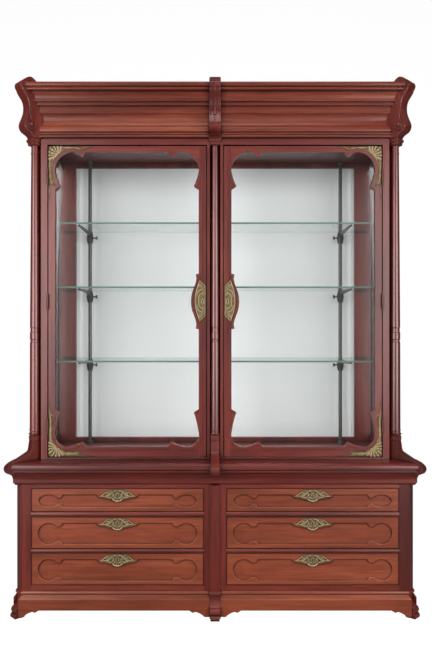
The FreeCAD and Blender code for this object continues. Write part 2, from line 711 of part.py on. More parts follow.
def base_case():
    panel = block(inner_side, lower_half, FIN_X, -CASE_BACK, PLINTH_HIGH, frame_top_z)
    panel = panel.cut(slab_behind_corner())
    recess = block(lower_half - SIDE_RECESS, lower_half + OVERRUN, -SIDE_MARGIN, SIDE_MARGIN - CASE_BACK,
                   PLINTH_HIGH + SIDE_MARGIN, frame_top_z - SIDE_MARGIN)
    keep("base_sides", both([panel.cut(recess)]))
    back = block(-inner_side, inner_side, -CASE_BACK, BASE_BACK_BOARD - CASE_BACK, PLINTH_HIGH, ledge_under_z)
    keep("base_back_panel", [back])
    front = PILASTER_BACK - FIN_SETBACK
    partition = block(-PARTITION / 2, PARTITION / 2, front, BASE_BACK_BOARD - CASE_BACK,
                      PLINTH_HIGH, ledge_under_z)
    keep("base_partition", [partition])
    board = block(-inner_side, inner_side, rail_back, -CASE_BACK, PLINTH_HIGH - BOTTOM_BOARD, PLINTH_HIGH)
    keep("base_bottom_board", [board.cut(nodes["lower_pilasters"])])


def slab_behind_corner():
    """What lies on or beyond a right corner board's side face, for pieces of the cabinet's side."""
    return round_corner(corner_slab(FIN_BOARD))


def bracket_outline(x0, x1):
    """The apron's front between two X, with a scalloped bracket at both ends."""
    foot, rise = PLINTH_HIGH * BRACKET_FOOT_SHARE, PLINTH_HIGH * BRACKET_RISE_SHARE
    hollow, cusp = PLINTH_HIGH * BRACKET_HOLLOW_SHARE, PLINTH_HIGH * BRACKET_CUSP_SHARE

    def end(x, way):
        return [(x, foot), (x + way * BRACKET_STEP, foot),
                (x + way * (BRACKET_STEP + BRACKET_RISE) / 2, hollow),
                (x + way * BRACKET_RISE, rise),
                (x + way * (BRACKET_RISE + BRACKET_CUSP) / 2, rise),
                (x + way * BRACKET_CUSP, cusp), (x + way * BRACKET_RUN, apron_foot_z)]

    near, far = end(x0, 1), end(x1, -1)
    return outline((x0, slope_foot_z), [
        (near[0],), (near[1],), (near[2], near[3]), (near[4], near[5]), (near[6],),
        (far[6],), (far[5],), (far[4], far[3]), (far[2], far[1]), (far[0],),
        ((x1, slope_foot_z),),
    ])


def plinth():
    slab = corner_slab(FIN_BOARD)
    apron_back = apron_face - APRON_BOARD
    corner_end = corner_face + apron_face
    front = front_plate(bracket_outline(MIDDLE_BOARD / 2, corner_end), apron_back, apron_face).cut(slab)
    depth_run = FIN_X + FIN_SETBACK - CASE_BACK
    side = front_plate(bracket_outline(depth_run, corner_end), apron_back, apron_face).cut(slab)
    side = round_corner(side)
    bead_low, bead_top = PLINTH_HIGH * BEAD_SHARES[0], PLINTH_HIGH * BEAD_SHARES[1]
    slope_top = PLINTH_HIGH * SLOPE_SHARES[1]
    bead = outline((rail_back, slope_foot_z), [
        ((apron_face, slope_foot_z),),
        ((lower_face + PLINTH_STEP, slope_top),),
        ((lower_face + PLINTH_STEP, bead_low - PLINTH_STEP),),
        ((lower_face, bead_low),),
        ((lower_face + PLINTH_BEAD, (bead_low + bead_top) / 2), (lower_face, bead_top)),
        ((lower_face, PLINTH_HIGH),),
        ((rail_back, PLINTH_HIGH),),
    ])
    shapes = both([front, side]) + corner_runs((bead,), MIDDLE_BOARD, FIN_BOARD)
    inner = FIN_X + FIN_SETBACK + apron_back
    foot = block(inner - REAR_FOOT, inner, -CASE_BACK, REAR_FOOT - CASE_BACK, 0, PLINTH_HIGH - BOTTOM_BOARD)
    return keep("plinth", shapes + both([foot]))


# Drawer runners: one under each side of each drawer, with the guides that keep it straight
RUNNER = 18.0
RUNNER_SHELF = 26.0  # how far a runner reaches under a drawer's side
DRAWER_SIDE_GAP = 6.0  # from the opening's edge to the drawer's side
GUIDE = 14.0


def runners():
    shapes = []
    front = rail_back
    rear = BASE_BACK_BOARD - CASE_BACK
    for under, top in openings:
        for wall, edge, way in ((PARTITION / 2, middle_stile, 1), (inner_side, stile_inner, -1)):
            shelf = block(wall, edge + way * RUNNER_SHELF, front, rear, under - RUNNER, under)
            guide = block(wall, edge + way * (DRAWER_SIDE_GAP - TOUCH), front, rear, under, under + GUIDE)
            shapes.append(shelf.fuse(guide).removeSplitter())
    return keep("drawer_runners", [shape.cut(nodes["lower_pilasters"]) for shape in both(shapes)])


# Upper case
POST_LEG = 61.0  # a corner post's two legs, from the colonette's axis
NOOK = 33.0  # the square nook that holds the colonette
STOP = 12.0  # how far the stops stand behind the doors' edges
HEAD_DEEP = 50.0
MIDDLE_POST = 37.0
MIDDLE_GROOVE = 24.0
MIDDLE_POST_DEEP = 64.0
SIDE_FRAME = 49.0
SIDE_STILE = 45.0
SIDE_RAIL_LOW = 48.0
SIDE_RAIL_HIGH = 54.0
PANE_LAP = 9.0
SIDE_PANE = 5.0
SIDE_BEAD = 7.0
CEILING_DROP = 12.0  # from the head rails' tops to the ceiling board
CEILING_BOARD = 18.0
CEILING_SETBACK = 60.0
COVER_BOARD = 12.0
BACK_SETBACK = 45.0  # from the back frame's face to the case's back
BACK_FRAME_BOARD = 22.0
BACK_STILE = 80.0
BACK_PANEL_BOARD = 8.0
BACK_PANEL_LAP = 20.0
BACK_RAIL = 25.0

side_inner = upper_half - SIDE_FRAME
side_open_under_z = ledge_top_z + SIDE_RAIL_LOW
side_open_top_z = head_top_z - SIDE_RAIL_HIGH
ceiling_z = head_top_z - CEILING_DROP
cover_z = cornice_z(COVER_SHARE)
back_frame = CASE_BACK - BACK_SETBACK

# Doors
DOOR_POST = 63.0  # from a corner colonette's axis to the door's space
DOOR_SIDE_GAP = 4.4
DOOR_FOOT_GAP = 3.0
DOOR_HEAD_GAP = 5.5
DOOR_THICK = 28.0
DOOR_LIP = 12.0  # thickness of the shaped front of the door's frame
OUTER_STILE = 31.0
INNER_STILE = 34.0
TOP_RAIL = 29.0
BOTTOM_RAIL = 47.0
POST_GAP = 4.0
GLASS_THICK = 5.0
GLASS_REBATE = 10.0

door_outer = FIN_X - DOOR_POST - POST_GAP
door_inner = MIDDLE_POST + DOOR_SIDE_GAP
door_under_z = sill_top_z + DOOR_FOOT_GAP
door_top_z = head_under_z - DOOR_HEAD_GAP
door_middle_z = (door_under_z + door_top_z) / 2


def upper_posts():
    face = UPPER_PROUD
    inner = door_outer + POST_GAP - FIN_X
    stop = inner - STOP
    back = DOOR_THICK + TOUCH - FIN_SETBACK
    leg = POST_LEG
    plan = polygon([(FIN_X + a, b - FIN_SETBACK) for a, b in (
        (inner, face), (-NOOK, face), (-NOOK, -NOOK), (face, -NOOK), (face, -leg), (stop, -leg),
        (stop, -back), (inner, -back))])
    corner = upright(plan, ledge_top_z, head_top_z)
    half, groove = MIDDLE_POST, MIDDLE_GROOVE
    stop_half = half + STOP
    behind_door = -DOOR_THICK - TOUCH
    middle_plan = outline((-half, 0), [
        ((-groove, 0),), ((-groove, -FIN_SETBACK),),
        ((0, -FIN_SETBACK - groove), (groove, -FIN_SETBACK)),
        ((groove, 0),), ((half, 0),), ((half, behind_door),), ((stop_half, behind_door),),
        ((stop_half, -MIDDLE_POST_DEEP),), ((-stop_half, -MIDDLE_POST_DEEP),),
        ((-stop_half, behind_door),), ((-half, behind_door),),
    ])
    middle = upright(middle_plan, sill_top_z, head_top_z)
    under, stop_z = head_under_z, head_under_z - STOP
    head = polygon([(0, under), (0, head_top_z), (-HEAD_DEEP, head_top_z), (-HEAD_DEEP, stop_z),
                    (behind_door, stop_z), (behind_door, under)])
    rail = run(head, stop_half, door_outer + POST_GAP)
    rail = rail.cut([corner, middle])
    bolts = [door_bolt_space(BOLT_ROOM)]
    bolts.append(left_of(bolts[0]))
    taken = nodes["colonettes"] + nodes["ledge_scrolls"]
    middle = middle.cut(bolts)
    shapes = [middle] + both([corner]) + both([fill_head(middle, head), rail])
    return keep("upper_posts", [shape.cut(taken) for shape in shapes if shape.Volume > 1])


def fill_head(middle, head):
    """The short head piece between a door's inner edge and the middle post's stop."""
    return run(head, MIDDLE_POST, MIDDLE_POST + STOP).cut(middle)


def side_frames():
    rear = CASE_BACK
    front = FIN_SETBACK + POST_LEG
    frames, panes = [], []
    low, high = ledge_top_z, head_top_z
    open_front = front + SIDE_STILE
    open_rear = rear - SIDE_STILE
    full = block(side_inner, upper_half, -front, -rear, low, high)
    through = block(side_inner - OVERRUN, upper_half + OVERRUN, -open_front, -open_rear,
                    side_open_under_z, side_open_top_z)
    lap = PANE_LAP
    rebate = block(side_inner - OVERRUN, side_inner + SIDE_BEAD + SIDE_PANE, lap - open_front, -open_rear - lap,
                   side_open_under_z - lap, side_open_top_z + lap)
    framed = full.cut([through, rebate])
    front_zone = block(side_inner - OVERRUN, upper_half + OVERRUN, OVERRUN, -open_front, 0, crest_top_z)
    rear_zone = block(side_inner - OVERRUN, upper_half + OVERRUN, -open_rear, -rear - OVERRUN, 0, crest_top_z)
    frames += [framed.common(front_zone), framed.common(rear_zone)]
    frames += framed.cut([front_zone, rear_zone]).Solids
    pane = block(side_inner + SIDE_BEAD, side_inner + SIDE_BEAD + SIDE_PANE, lap - open_front, -open_rear - lap,
                 side_open_under_z - lap, side_open_top_z + lap)
    panes.append(pane)
    x0, x1 = side_inner, side_inner + SIDE_BEAD
    z0, z1 = side_open_under_z - lap, side_open_top_z + lap
    frames += [block(x0, x1, lap - open_front, -open_front, z0, z1),
               block(x0, x1, -open_rear, -open_rear - lap, z0, z1),
               block(x0, x1, -open_front, -open_rear, z0, z0 + lap),
               block(x0, x1, -open_front, -open_rear, z1 - lap, z1)]
    keep("upper_side_frames", both(frames))
    keep("upper_side_glass", both(panes))


def upper_boards():
    posts = nodes["upper_posts"] + nodes["ledge_scrolls"]
    floor = block(-side_inner, side_inner, 0, -CASE_BACK, ledge_top_z, sill_top_z)
    keep("upper_floor_board", [max(floor.cut(posts).Solids, key=lambda part: part.Volume)])
    ceiling = block(-side_inner, side_inner, -CEILING_SETBACK, -CASE_BACK, ceiling_z, ceiling_z + CEILING_BOARD)
    ceiling = ceiling.cut(posts + nodes["upper_side_frames"])
    inner = upper_half - UPPER_PROUD - CORNICE_BACK + FIN_SETBACK
    cover = block(-inner, inner, -CORNICE_BACK, -CASE_BACK, cover_z, cover_z + COVER_BOARD)
    cover = cover.cut(nodes["crown_corbels"] + nodes["cornice"])
    keep("crown_boards", [ceiling, cover])


def back_of_case():
    face, board = -back_frame, BACK_FRAME_BOARD
    low, high = sill_top_z, ceiling_z
    rail_top, rail_under = low + BACK_RAIL, high - BACK_RAIL
    stile_in = side_inner - BACK_STILE
    stile = block(stile_in, side_inner, face, face - board, low, high)
    under = block(-stile_in, stile_in, face, face - board, low, rail_top)
    over = block(-stile_in, stile_in, face, face - board, rail_under, high)
    keep("upper_back_frame", both([stile]) + [under, over])
    edge = stile_in + BACK_PANEL_LAP
    panel = block(-edge, edge, face - board, face - board - BACK_PANEL_BOARD,
                  rail_top - BACK_PANEL_LAP, rail_under + BACK_PANEL_LAP)
    keep("upper_back_panel", [panel])


# Shaped corners of a door's opening, as distances from the corner along the rail and the stile
NOSE_RAIL_RUN = 124.0
NOSE_RAIL_DEEP = 20.0
NOSE_STILE_RUN = 154.0
NOSE_STILE_DEEP = 22.0
NOSE_BACK = 18.0
NOSE_ROUND = 6.0
LOBE_TOP = 84.0
LOBE_FOOT = 58.0
LOBE_BULGE_STILE = 1.0
LOBE_BULGE_RAIL = 1.5
SIGHT_RING = 14.0
SIGHT_RING_PROUD = 2.5
BULGE_HIGH = 256.0
BULGE_BEAK = 15.0
BULGE_DEEP = 37.0

bulge_top_z = door_middle_z + BULGE_HIGH / 2
bulge_under_z = door_middle_z - BULGE_HIGH / 2


def corner_steps(corner, along, lobe, from_rail, grow):
    """An opening's shaped corner, drawn from the rail to the stile or back. along points inwards."""
    cx, cz = corner
    sx, sz = along

    def at(a, b):
        return (cx + sx * a, cz + sz * b)

    bulge_s, bulge_r = LOBE_BULGE_STILE + grow, LOBE_BULGE_RAIL + grow
    run_r, run_s = NOSE_RAIL_RUN, NOSE_STILE_RUN
    deep_r, deep_s = NOSE_RAIL_DEEP - grow, NOSE_STILE_DEEP - grow
    centre_a, centre_b = lobe - LOBE_BULGE_STILE, lobe - LOBE_BULGE_RAIL
    reach = lobe + grow
    on_arc = reach / ROOT_TWO
    points = [
        at(run_r + NOSE_BACK, -grow),
        at(run_r + NOSE_ROUND, deep_r - NOSE_ROUND / 2), at(run_r, deep_r),
        at(run_r - NOSE_ROUND, deep_r - NOSE_ROUND / 2),
        at((run_r + centre_a) / 2, (deep_r - bulge_r) / 2 - NOSE_ROUND / 2), at(centre_a, -bulge_r),
        at(centre_a - on_arc, centre_b - on_arc), at(-bulge_s, centre_b),
        at((deep_s - bulge_s) / 2 - NOSE_ROUND / 2, (run_s + centre_b) / 2),
        at(deep_s - NOSE_ROUND / 2, run_s - NOSE_ROUND),
        at(deep_s, run_s), at(deep_s - NOSE_ROUND / 2, run_s + NOSE_ROUND),
        at(-grow, run_s + NOSE_BACK),
    ]
    if from_rail:
        return points
    return points[::-1]


def arcs(points):
    """Steps for a shaped corner's points, after its first one has been reached."""
    return [(points[0],), (points[1],), (points[2], points[3]), (points[4], points[5]),
            (points[6], points[7]), (points[8], points[9]), (points[10], points[11]), (points[12],)]


def door_opening(grow):
    """The glass opening of the right door's front, grown outwards all round."""
    x_in, x_out = door_inner + INNER_STILE, door_outer - OUTER_STILE
    z_low, z_high = door_under_z + BOTTOM_RAIL, door_top_z - TOP_RAIL
    top_out = corner_steps((x_out, z_high), (-1, -1), LOBE_TOP, True, grow)
    foot_out = corner_steps((x_out, z_low), (-1, 1), LOBE_FOOT, False, grow)
    foot_in = corner_steps((x_in, z_low), (1, 1), LOBE_FOOT, True, grow)
    top_in = corner_steps((x_in, z_high), (1, -1), LOBE_TOP, False, grow)
    edge = x_in - grow
    bulge = [((edge, bulge_under_z + grow),),
             ((x_in + BULGE_BEAK - grow, bulge_under_z + BEAD_GROOVE + grow),),
             ((x_in + BULGE_DEEP - grow, door_middle_z),
              (x_in + BULGE_BEAK - grow, bulge_top_z - BEAD_GROOVE - grow)),
             ((edge, bulge_top_z - grow),)]
    steps = arcs(top_out) + arcs(foot_out) + arcs(foot_in) + bulge + arcs(top_in)
    return outline(top_in[-1], steps + [(top_in[-1],)])


def door_frame():
    """The right door's frame: two stiles and two rails, with glazing beads behind the glass."""
    lip_back = -DOOR_LIP
    outer = polygon([(door_inner, door_under_z), (door_outer, door_under_z),
                     (door_outer, door_top_z), (door_inner, door_top_z)])
    x_in, x_out = door_inner + INNER_STILE, door_outer - OUTER_STILE
    z_low, z_high = door_under_z + BOTTOM_RAIL, door_top_z - TOP_RAIL
    lap = GLASS_REBATE
    body = front_plate(outer, -DOOR_THICK, 0)
    sight = front_plate(door_opening(0), -DOOR_THICK - OVERRUN, OVERRUN)
    rebate = block(x_in - lap, x_out + lap, lip_back, -DOOR_THICK - OVERRUN, z_low - lap, z_high + lap)
    framed = body.cut([sight, rebate])
    sunk = front_plate(door_opening(SIGHT_RING), -SIGHT_RING_PROUD, OVERRUN)
    face_skin = block(door_inner - OVERRUN, door_outer + OVERRUN, -SIGHT_RING_PROUD, OVERRUN,
                      door_under_z - OVERRUN, door_top_z + OVERRUN)
    framed = framed.cut(face_skin.cut(sunk))
    left = block(door_inner - OVERRUN, x_in, OVERRUN, -DOOR_THICK - OVERRUN, 0, crest_top_z)
    right = block(x_out, door_outer + OVERRUN, OVERRUN, -DOOR_THICK - OVERRUN, 0, crest_top_z)
    pieces = [framed.common(right)]
    bulge = block(x_in - OVERRUN, (x_in + x_out) / 2, OVERRUN, -DOOR_THICK - OVERRUN,
                  bulge_under_z - OVERRUN, bulge_top_z + OVERRUN)
    stile_zone = left.fuse(bulge)
    pieces.append(framed.common(stile_zone))
    pieces += framed.cut([stile_zone, right]).Solids
    bead_front = lip_back - GLASS_THICK
    bead_back = -DOOR_THICK
    pieces += [block(x_in - lap, x_in, bead_front, bead_back, z_low - lap, z_high + lap),
               block(x_out, x_out + lap, bead_front, bead_back, z_low - lap, z_high + lap),
               block(x_in, x_out, bead_front, bead_back, z_low - lap, z_low),
               block(x_in, x_out, bead_front, bead_back, z_high, z_high + lap)]
    glass = block(x_in - lap, x_out + lap, lip_back, bead_front, z_low - lap, z_high + lap)
    return pieces, glass


# Door lock and its bolt
LOCK_RISE = 3.0  # from the door's middle to its bolt
DOOR_LOCK_WIDE = 21.0
DOOR_LOCK_HIGH = 84.0
DOOR_LOCK_THICK = 15.0
DOOR_LOCK_SETBACK = 11.0
DOOR_BOLT_HIGH = 24.0
DOOR_BOLT_THICK = 8.0
DOOR_BOLT_LONG = 18.0
DOOR_BOLT_MORTISE = 8.0
PLATE = 2.5
KEYHOLE_RADIUS = 3.5
KEYHOLE_SLOT = 3.5
KEYHOLE_DROP = 9.0
KEYHOLE_SETBACK_SHARE = 0.75  # of the lock's width, from the door's edge

lock_z = door_middle_z + LOCK_RISE
keyhole_x = door_inner + DOOR_LOCK_WIDE * KEYHOLE_SETBACK_SHARE


def door_bolt():
    middle = -DOOR_LOCK_SETBACK - DOOR_LOCK_THICK / 2
    return block(door_inner, door_inner + DOOR_BOLT_LONG, middle - DOOR_BOLT_THICK / 2,
                 middle + DOOR_BOLT_THICK / 2, lock_z - DOOR_BOLT_HIGH / 2, lock_z + DOOR_BOLT_HIGH / 2)


def door_bolt_space(grow):
    """The mortise in the middle post that takes the right door's bolt."""
    middle = -DOOR_LOCK_SETBACK - DOOR_LOCK_THICK / 2
    return block(MIDDLE_POST - DOOR_BOLT_MORTISE, MIDDLE_POST + OVERRUN,
                 middle - DOOR_BOLT_THICK / 2 - grow, middle + DOOR_BOLT_THICK / 2 + grow,
                 lock_z - DOOR_BOLT_HIGH / 2 - grow, lock_z + DOOR_BOLT_HIGH / 2 + grow)


def keyhole(x, z, reach):
    """A keyhole's cutting shape through a plate whose face is at a reach."""
    hole = Part.makeCylinder(KEYHOLE_RADIUS, 2 * OVERRUN, V(x, y_at(reach) - OVERRUN, z), BACK)
    slot = block(x - KEYHOLE_SLOT / 2, x + KEYHOLE_SLOT / 2, reach - OVERRUN, reach + OVERRUN,
                 z - KEYHOLE_DROP, z)
    return hole.fuse(slot)


# Brass corner mounts and lock plates of a door
MOUNT_MARGIN = 2.0
MOUNT_RAIL_FULL = 150.0  # how far the mount fills the rail, and where its thin tail ends
MOUNT_RAIL_TAIL = 222.0
MOUNT_STILE_FULL = 185.0
MOUNT_STILE_TAIL = 245.0
MOUNT_TAIL_WIDE = 6.0
MOUNT_THICK = 4.0
LOCK_PLATE_WIDE = 49.5
LOCK_PLATE_HIGH = 238.0
LOCK_PLATE_EDGE = 3.0  # from the door's edge
LOCK_PLATE_WAIST = 12.0


def corner_mount(top):
    """The right door's outer corner mount: the space between the door's edges and the sight ring."""
    edge = door_outer - MOUNT_MARGIN
    way = -1 if top else 1
    end = (door_top_z - MOUNT_MARGIN) if top else (door_under_z + MOUNT_MARGIN)
    rail = (TOP_RAIL if top else BOTTOM_RAIL) - SIGHT_RING - MOUNT_MARGIN
    stile = OUTER_STILE - SIGHT_RING - MOUNT_MARGIN
    spread = 2 * rail if top else rail + stile
    tail = MOUNT_TAIL_WIDE
    plan = outline((edge, end), [
        ((edge - MOUNT_RAIL_TAIL, end),),
        ((edge - MOUNT_RAIL_TAIL + tail, end + way * tail / 2),),
        ((edge - MOUNT_RAIL_FULL - tail, end + way * tail),),
        ((edge - MOUNT_RAIL_FULL + tail, end + way * (rail + tail)),),
        ((edge - MOUNT_RAIL_FULL + 2 * tail, end + way * 2 * rail),),
        ((edge - 2 * stile, end + way * spread * 2),),
        ((edge - 2 * stile, end + way * (MOUNT_STILE_FULL - 2 * tail)),),
        ((edge - stile - tail, end + way * (MOUNT_STILE_FULL - tail)),),
        ((edge - tail, end + way * (MOUNT_STILE_FULL + tail)),),
        ((edge - tail / 2, end + way * (MOUNT_STILE_TAIL - tail)),),
        ((edge, end + way * MOUNT_STILE_TAIL),),
    ])
    flat = -SIGHT_RING_PROUD
    plate = front_plate(plan, flat, flat + MOUNT_THICK)
    ring_space = front_plate(door_opening(SIGHT_RING), flat - OVERRUN, flat + MOUNT_THICK + OVERRUN)
    return max(plate.cut(ring_space).Solids, key=lambda part: part.Volume)


def lock_plate():
    """The right door's lock plate, shaped like a long leaf, with its keyhole."""
    x0 = door_inner + LOCK_PLATE_EDGE
    x1 = x0 + LOCK_PLATE_WIDE
    tip = x0 + LOCK_PLATE_WAIST
    quarter = LOCK_PLATE_HIGH / 4
    under, over = lock_z - 2 * quarter, lock_z + 2 * quarter
    plan = outline((x0, under), [
        ((tip, under),),
        ((tip + LOCK_PLATE_WAIST / 2, lock_z - quarter), (x1, lock_z)),
        ((tip + LOCK_PLATE_WAIST / 2, lock_z + quarter), (tip, over)),
        ((x0, over),),
    ])
    plate = front_plate(plan, -SIGHT_RING_PROUD, PLATE)
    ring_space = front_plate(door_opening(SIGHT_RING), -SIGHT_RING_PROUD - OVERRUN, 0)
    return plate.cut([ring_space, keyhole(keyhole_x, lock_z, 0)])


# Hinges
HINGE_SHARES = (0.099, 0.5, 0.901)  # of the door's height
HINGE_LONG = 70.0
HINGE_RADIUS = 4.5
HINGE_PIN = 2.2
HINGE_LEAF = 1.4
HINGE_REACH = 5.0  # reach of the hinge's axis before the door fronts
HINGE_LEAF_DEEP = 22.0
HINGE_KNUCKLE_GAP = 0.5

hinge_x = door_outer + POST_GAP / 2


def hinge(z):
    """A butt hinge of the right door: the post's leaf with the pin, and the door's leaf."""
    third = HINGE_LONG / 3
    low, high = z - HINGE_LONG / 2, z + HINGE_LONG / 2
    gap = HINGE_KNUCKLE_GAP
    fixed_edge = door_outer + POST_GAP
    fixed = block(fixed_edge - HINGE_LEAF, fixed_edge, HINGE_REACH, -HINGE_LEAF_DEEP, low, high)
    door = block(door_outer, door_outer + HINGE_LEAF, HINGE_REACH, -HINGE_LEAF_DEEP, low, high)
    middle = rod(hinge_x, HINGE_REACH, low + third + gap, high - third - gap, HINGE_RADIUS)
    ends = [rod(hinge_x, HINGE_REACH, low, low + third, HINGE_RADIUS),
            rod(hinge_x, HINGE_REACH, high - third, high, HINGE_RADIUS)]
    room_middle = rod(hinge_x, HINGE_REACH, low + third, high - third, HINGE_RADIUS + gap)
    room_ends = [rod(hinge_x, HINGE_REACH, low - OVERRUN, low + third + gap, HINGE_RADIUS + gap),
                 rod(hinge_x, HINGE_REACH, high - third - gap, high + OVERRUN, HINGE_RADIUS + gap)]
    pin = rod(hinge_x, HINGE_REACH, low, high, HINGE_PIN)
    bore = rod(hinge_x, HINGE_REACH, low - OVERRUN, high + OVERRUN, HINGE_PIN + SHAFT_PLAY)
    fixed = fixed.cut(room_middle).fuse(ends + [pin])
    door = door.cut(room_ends).fuse(middle).cut(bore)
    return fixed, door


def doors():
    frame_pieces, glass = door_frame()
    fixed_leaves, fittings = [], []
    for share in HINGE_SHARES:
        fixed, leaf = hinge(door_under_z + (door_top_z - door_under_z) * share)
        fixed_leaves.append(fixed)
        fittings.append(leaf)
    middle = -DOOR_LOCK_SETBACK
    case = block(door_inner, door_inner + DOOR_LOCK_WIDE, middle, middle - DOOR_LOCK_THICK,
                 lock_z - DOOR_LOCK_HIGH / 2, lock_z + DOOR_LOCK_HIGH / 2)
    bolt = door_bolt()
    slot = block(door_inner - OVERRUN, door_inner + DOOR_BOLT_LONG + TOUCH,
                 middle - (DOOR_LOCK_THICK - DOOR_BOLT_THICK) / 2 + TOUCH,
                 middle - (DOOR_LOCK_THICK + DOOR_BOLT_THICK) / 2 - TOUCH,
                 lock_z - DOOR_BOLT_HIGH / 2 - TOUCH, lock_z + DOOR_BOLT_HIGH / 2 + TOUCH)
    tunnel = keyhole(keyhole_x, lock_z, -OVERRUN)
    frame_pieces = [piece.cut([case, tunnel]) for piece in frame_pieces]
    fittings += [case.cut(slot), lock_plate(), corner_mount(True), corner_mount(False)]
    cut_back = [piece.cut(fittings[-3:]) for piece in frame_pieces]
    keep("hinge_leaves", both(fixed_leaves))
    for name, turn in (("door_right", lambda shape: shape), ("door_left", left_of)):
        keep(name + "_frame", [turn(piece) for piece in cut_back])
        keep(name + "_glass", [turn(glass)])
        keep(name + "_brass", [turn(piece) for piece in fittings])
        keep(name + "_bolt", [turn(bolt)])


# Shelves on sliding brackets
SHELF_SHARES = (0.3008, 0.5430, 0.7522)  # each shelf's middle, from the floor board to the ceiling
SHELF_GLASS = 8.0
SHELF_SIDE_GAP = 14.0
SHELF_FRONT_GAP = 7.0  # behind the posts' legs
SHELF_REAR_GAP = 3.0
SHELF_GAP = 2.0
ROD_SHARE = 0.818  # of the shelves' half length
ROD_RADIUS = 9.0
ROD_FREE = 20.0  # from the rods' axes to the back frame
ROD_SOCKET = 16.0
ROD_SOCKET_HIGH = 12.0
COLLAR_LONG = 58.0
COLLAR_END = 13.0  # radius of the barrel-shaped collar at its ends, and at its middle
COLLAR_BAND = 18.0
ARM_FRONT_GAP = 12.0  # from the shelf's front edge to an arm's tip
ARM_THICK = 8.0
ARM_TIP = 8.0
ARM_ROOT = 20.0
SCREW_RADIUS = 3.5
SCREW_OUT = 30.0
SCREW_HEAD = 9.0
SCREW_HEAD_LONG = 7.0

shelf_half = side_inner - SHELF_SIDE_GAP
shelf_front = FIN_SETBACK + POST_LEG + SHELF_FRONT_GAP
shelf_rear = back_frame - SHELF_REAR_GAP
rod_x = ROD_SHARE * shelf_half
rod_setback = back_frame - ROD_FREE
arm_front = shelf_front + ARM_FRONT_GAP


def shelf_uprights():
    shapes = []
    for x in (-rod_x, 0, rod_x):
        column = rod(x, -rod_setback, sill_top_z, ceiling_z, ROD_RADIUS)
        foot = rod(x, -rod_setback, sill_top_z, sill_top_z + ROD_SOCKET_HIGH, ROD_SOCKET)
        head = rod(x, -rod_setback, ceiling_z - ROD_SOCKET_HIGH, ceiling_z, ROD_SOCKET)
        shapes.append(column.fuse([foot, head]).removeSplitter())
    return keep("shelf_uprights", shapes)


def bracket(x, under, direction):
    """A barrel-shaped collar with a slim arm under a shelf, and its thumbscrew."""
    low = under - COLLAR_LONG
    centre = V(x, y_at(-rod_setback), (under + low) / 2)
    barrel = [Part.makeCone(COLLAR_BAND, COLLAR_END, COLLAR_LONG / 2, centre, UP),
              Part.makeCone(COLLAR_BAND, COLLAR_END, COLLAR_LONG / 2, centre, UP * -1)]
    arm_side = polygon([(-rod_setback, under), (-rod_setback, under - ARM_ROOT),
                        (-arm_front, under - ARM_TIP), (-arm_front, under)])
    arm = run(arm_side, x - ARM_THICK / 2, x + ARM_THICK / 2)
    bore = rod(x, -rod_setback, low - OVERRUN, under + OVERRUN, ROD_RADIUS + SHAFT_PLAY)
    hole = Part.makeCylinder(SCREW_RADIUS, COLLAR_BAND + OVERRUN, centre, direction)
    shank_start = centre + direction * (ROD_RADIUS + SHAFT_PLAY)
    shank = Part.makeCylinder(SCREW_RADIUS, SCREW_OUT - ROD_RADIUS, shank_start, direction)
    head = Part.makeCylinder(SCREW_HEAD, SCREW_HEAD_LONG, centre + direction * SCREW_OUT, direction)
    body = barrel[0].fuse([barrel[1], arm]).cut([bore, hole])
    return [body, shank.fuse(head)]


def shelves():
    for name, share in zip(("low", "middle", "high"), SHELF_SHARES):
        middle = sill_top_z + (ceiling_z - sill_top_z) * share
        under, top = middle - SHELF_GLASS / 2, middle + SHELF_GLASS / 2
        pane = block(SHELF_GAP / 2, shelf_half, -shelf_front, -shelf_rear, under, top)
        notches = [rod(x, -rod_setback, under - OVERRUN, top + OVERRUN, ROD_RADIUS + SHELF_GAP)
                   for x in (0, rod_x)]
        keep("shelf_" + name + "_glass", both([pane.cut(notches)]))
        parts = bracket(rod_x, under, RIGHT * -1) + bracket(-rod_x, under, RIGHT) + bracket(0, under, BACK)
        keep("shelf_" + name + "_brackets", parts)


# Drawers
DRAWER_GAP = 1.5
DRAWER_FRONT = 22.0
DRAWER_REAR_ROOM = 40.0  # from the drawers' backs to the case's back
DRAWER_SIDE = 14.0
DRAWER_BOTTOM = 8.0
DRAWER_BOTTOM_UP = 8.0
DRAWER_HEADROOM = 14.0
PANEL_TOP_MARGIN = 29.0
PANEL_FOOT_MARGIN = 20.5
PANEL_SUNK = 6.0
LOBE_CENTRE = 78.0
LOBE_WIDE = 45.0
NECK_DEEP = 16.0
NECK_DEEP_SHARE = 0.3
NECK_A = 133.0
PANEL_A = 143.0
NOTCH_A = 93.0  # half the notch round the plate
NOTCH_STEP = 13.0
NOTCH_SLOPE = 8.0
NOTCH_DEEP = 33.0
PLATE_HALF = 93.0
PLATE_TOP_MARGIN = 3.5
PLATE_HIGH = 58.0
PLATE_BODY = 61.0
PLATE_TIP = 7.0
PLATE_LIP = 9.0
PLATE_LIP_HIGH = 6.0
DRAWER_KEY_DROP = 26.0
DRAWER_LOCK_WIDE = 60.0
DRAWER_LOCK_HIGH = 46.0


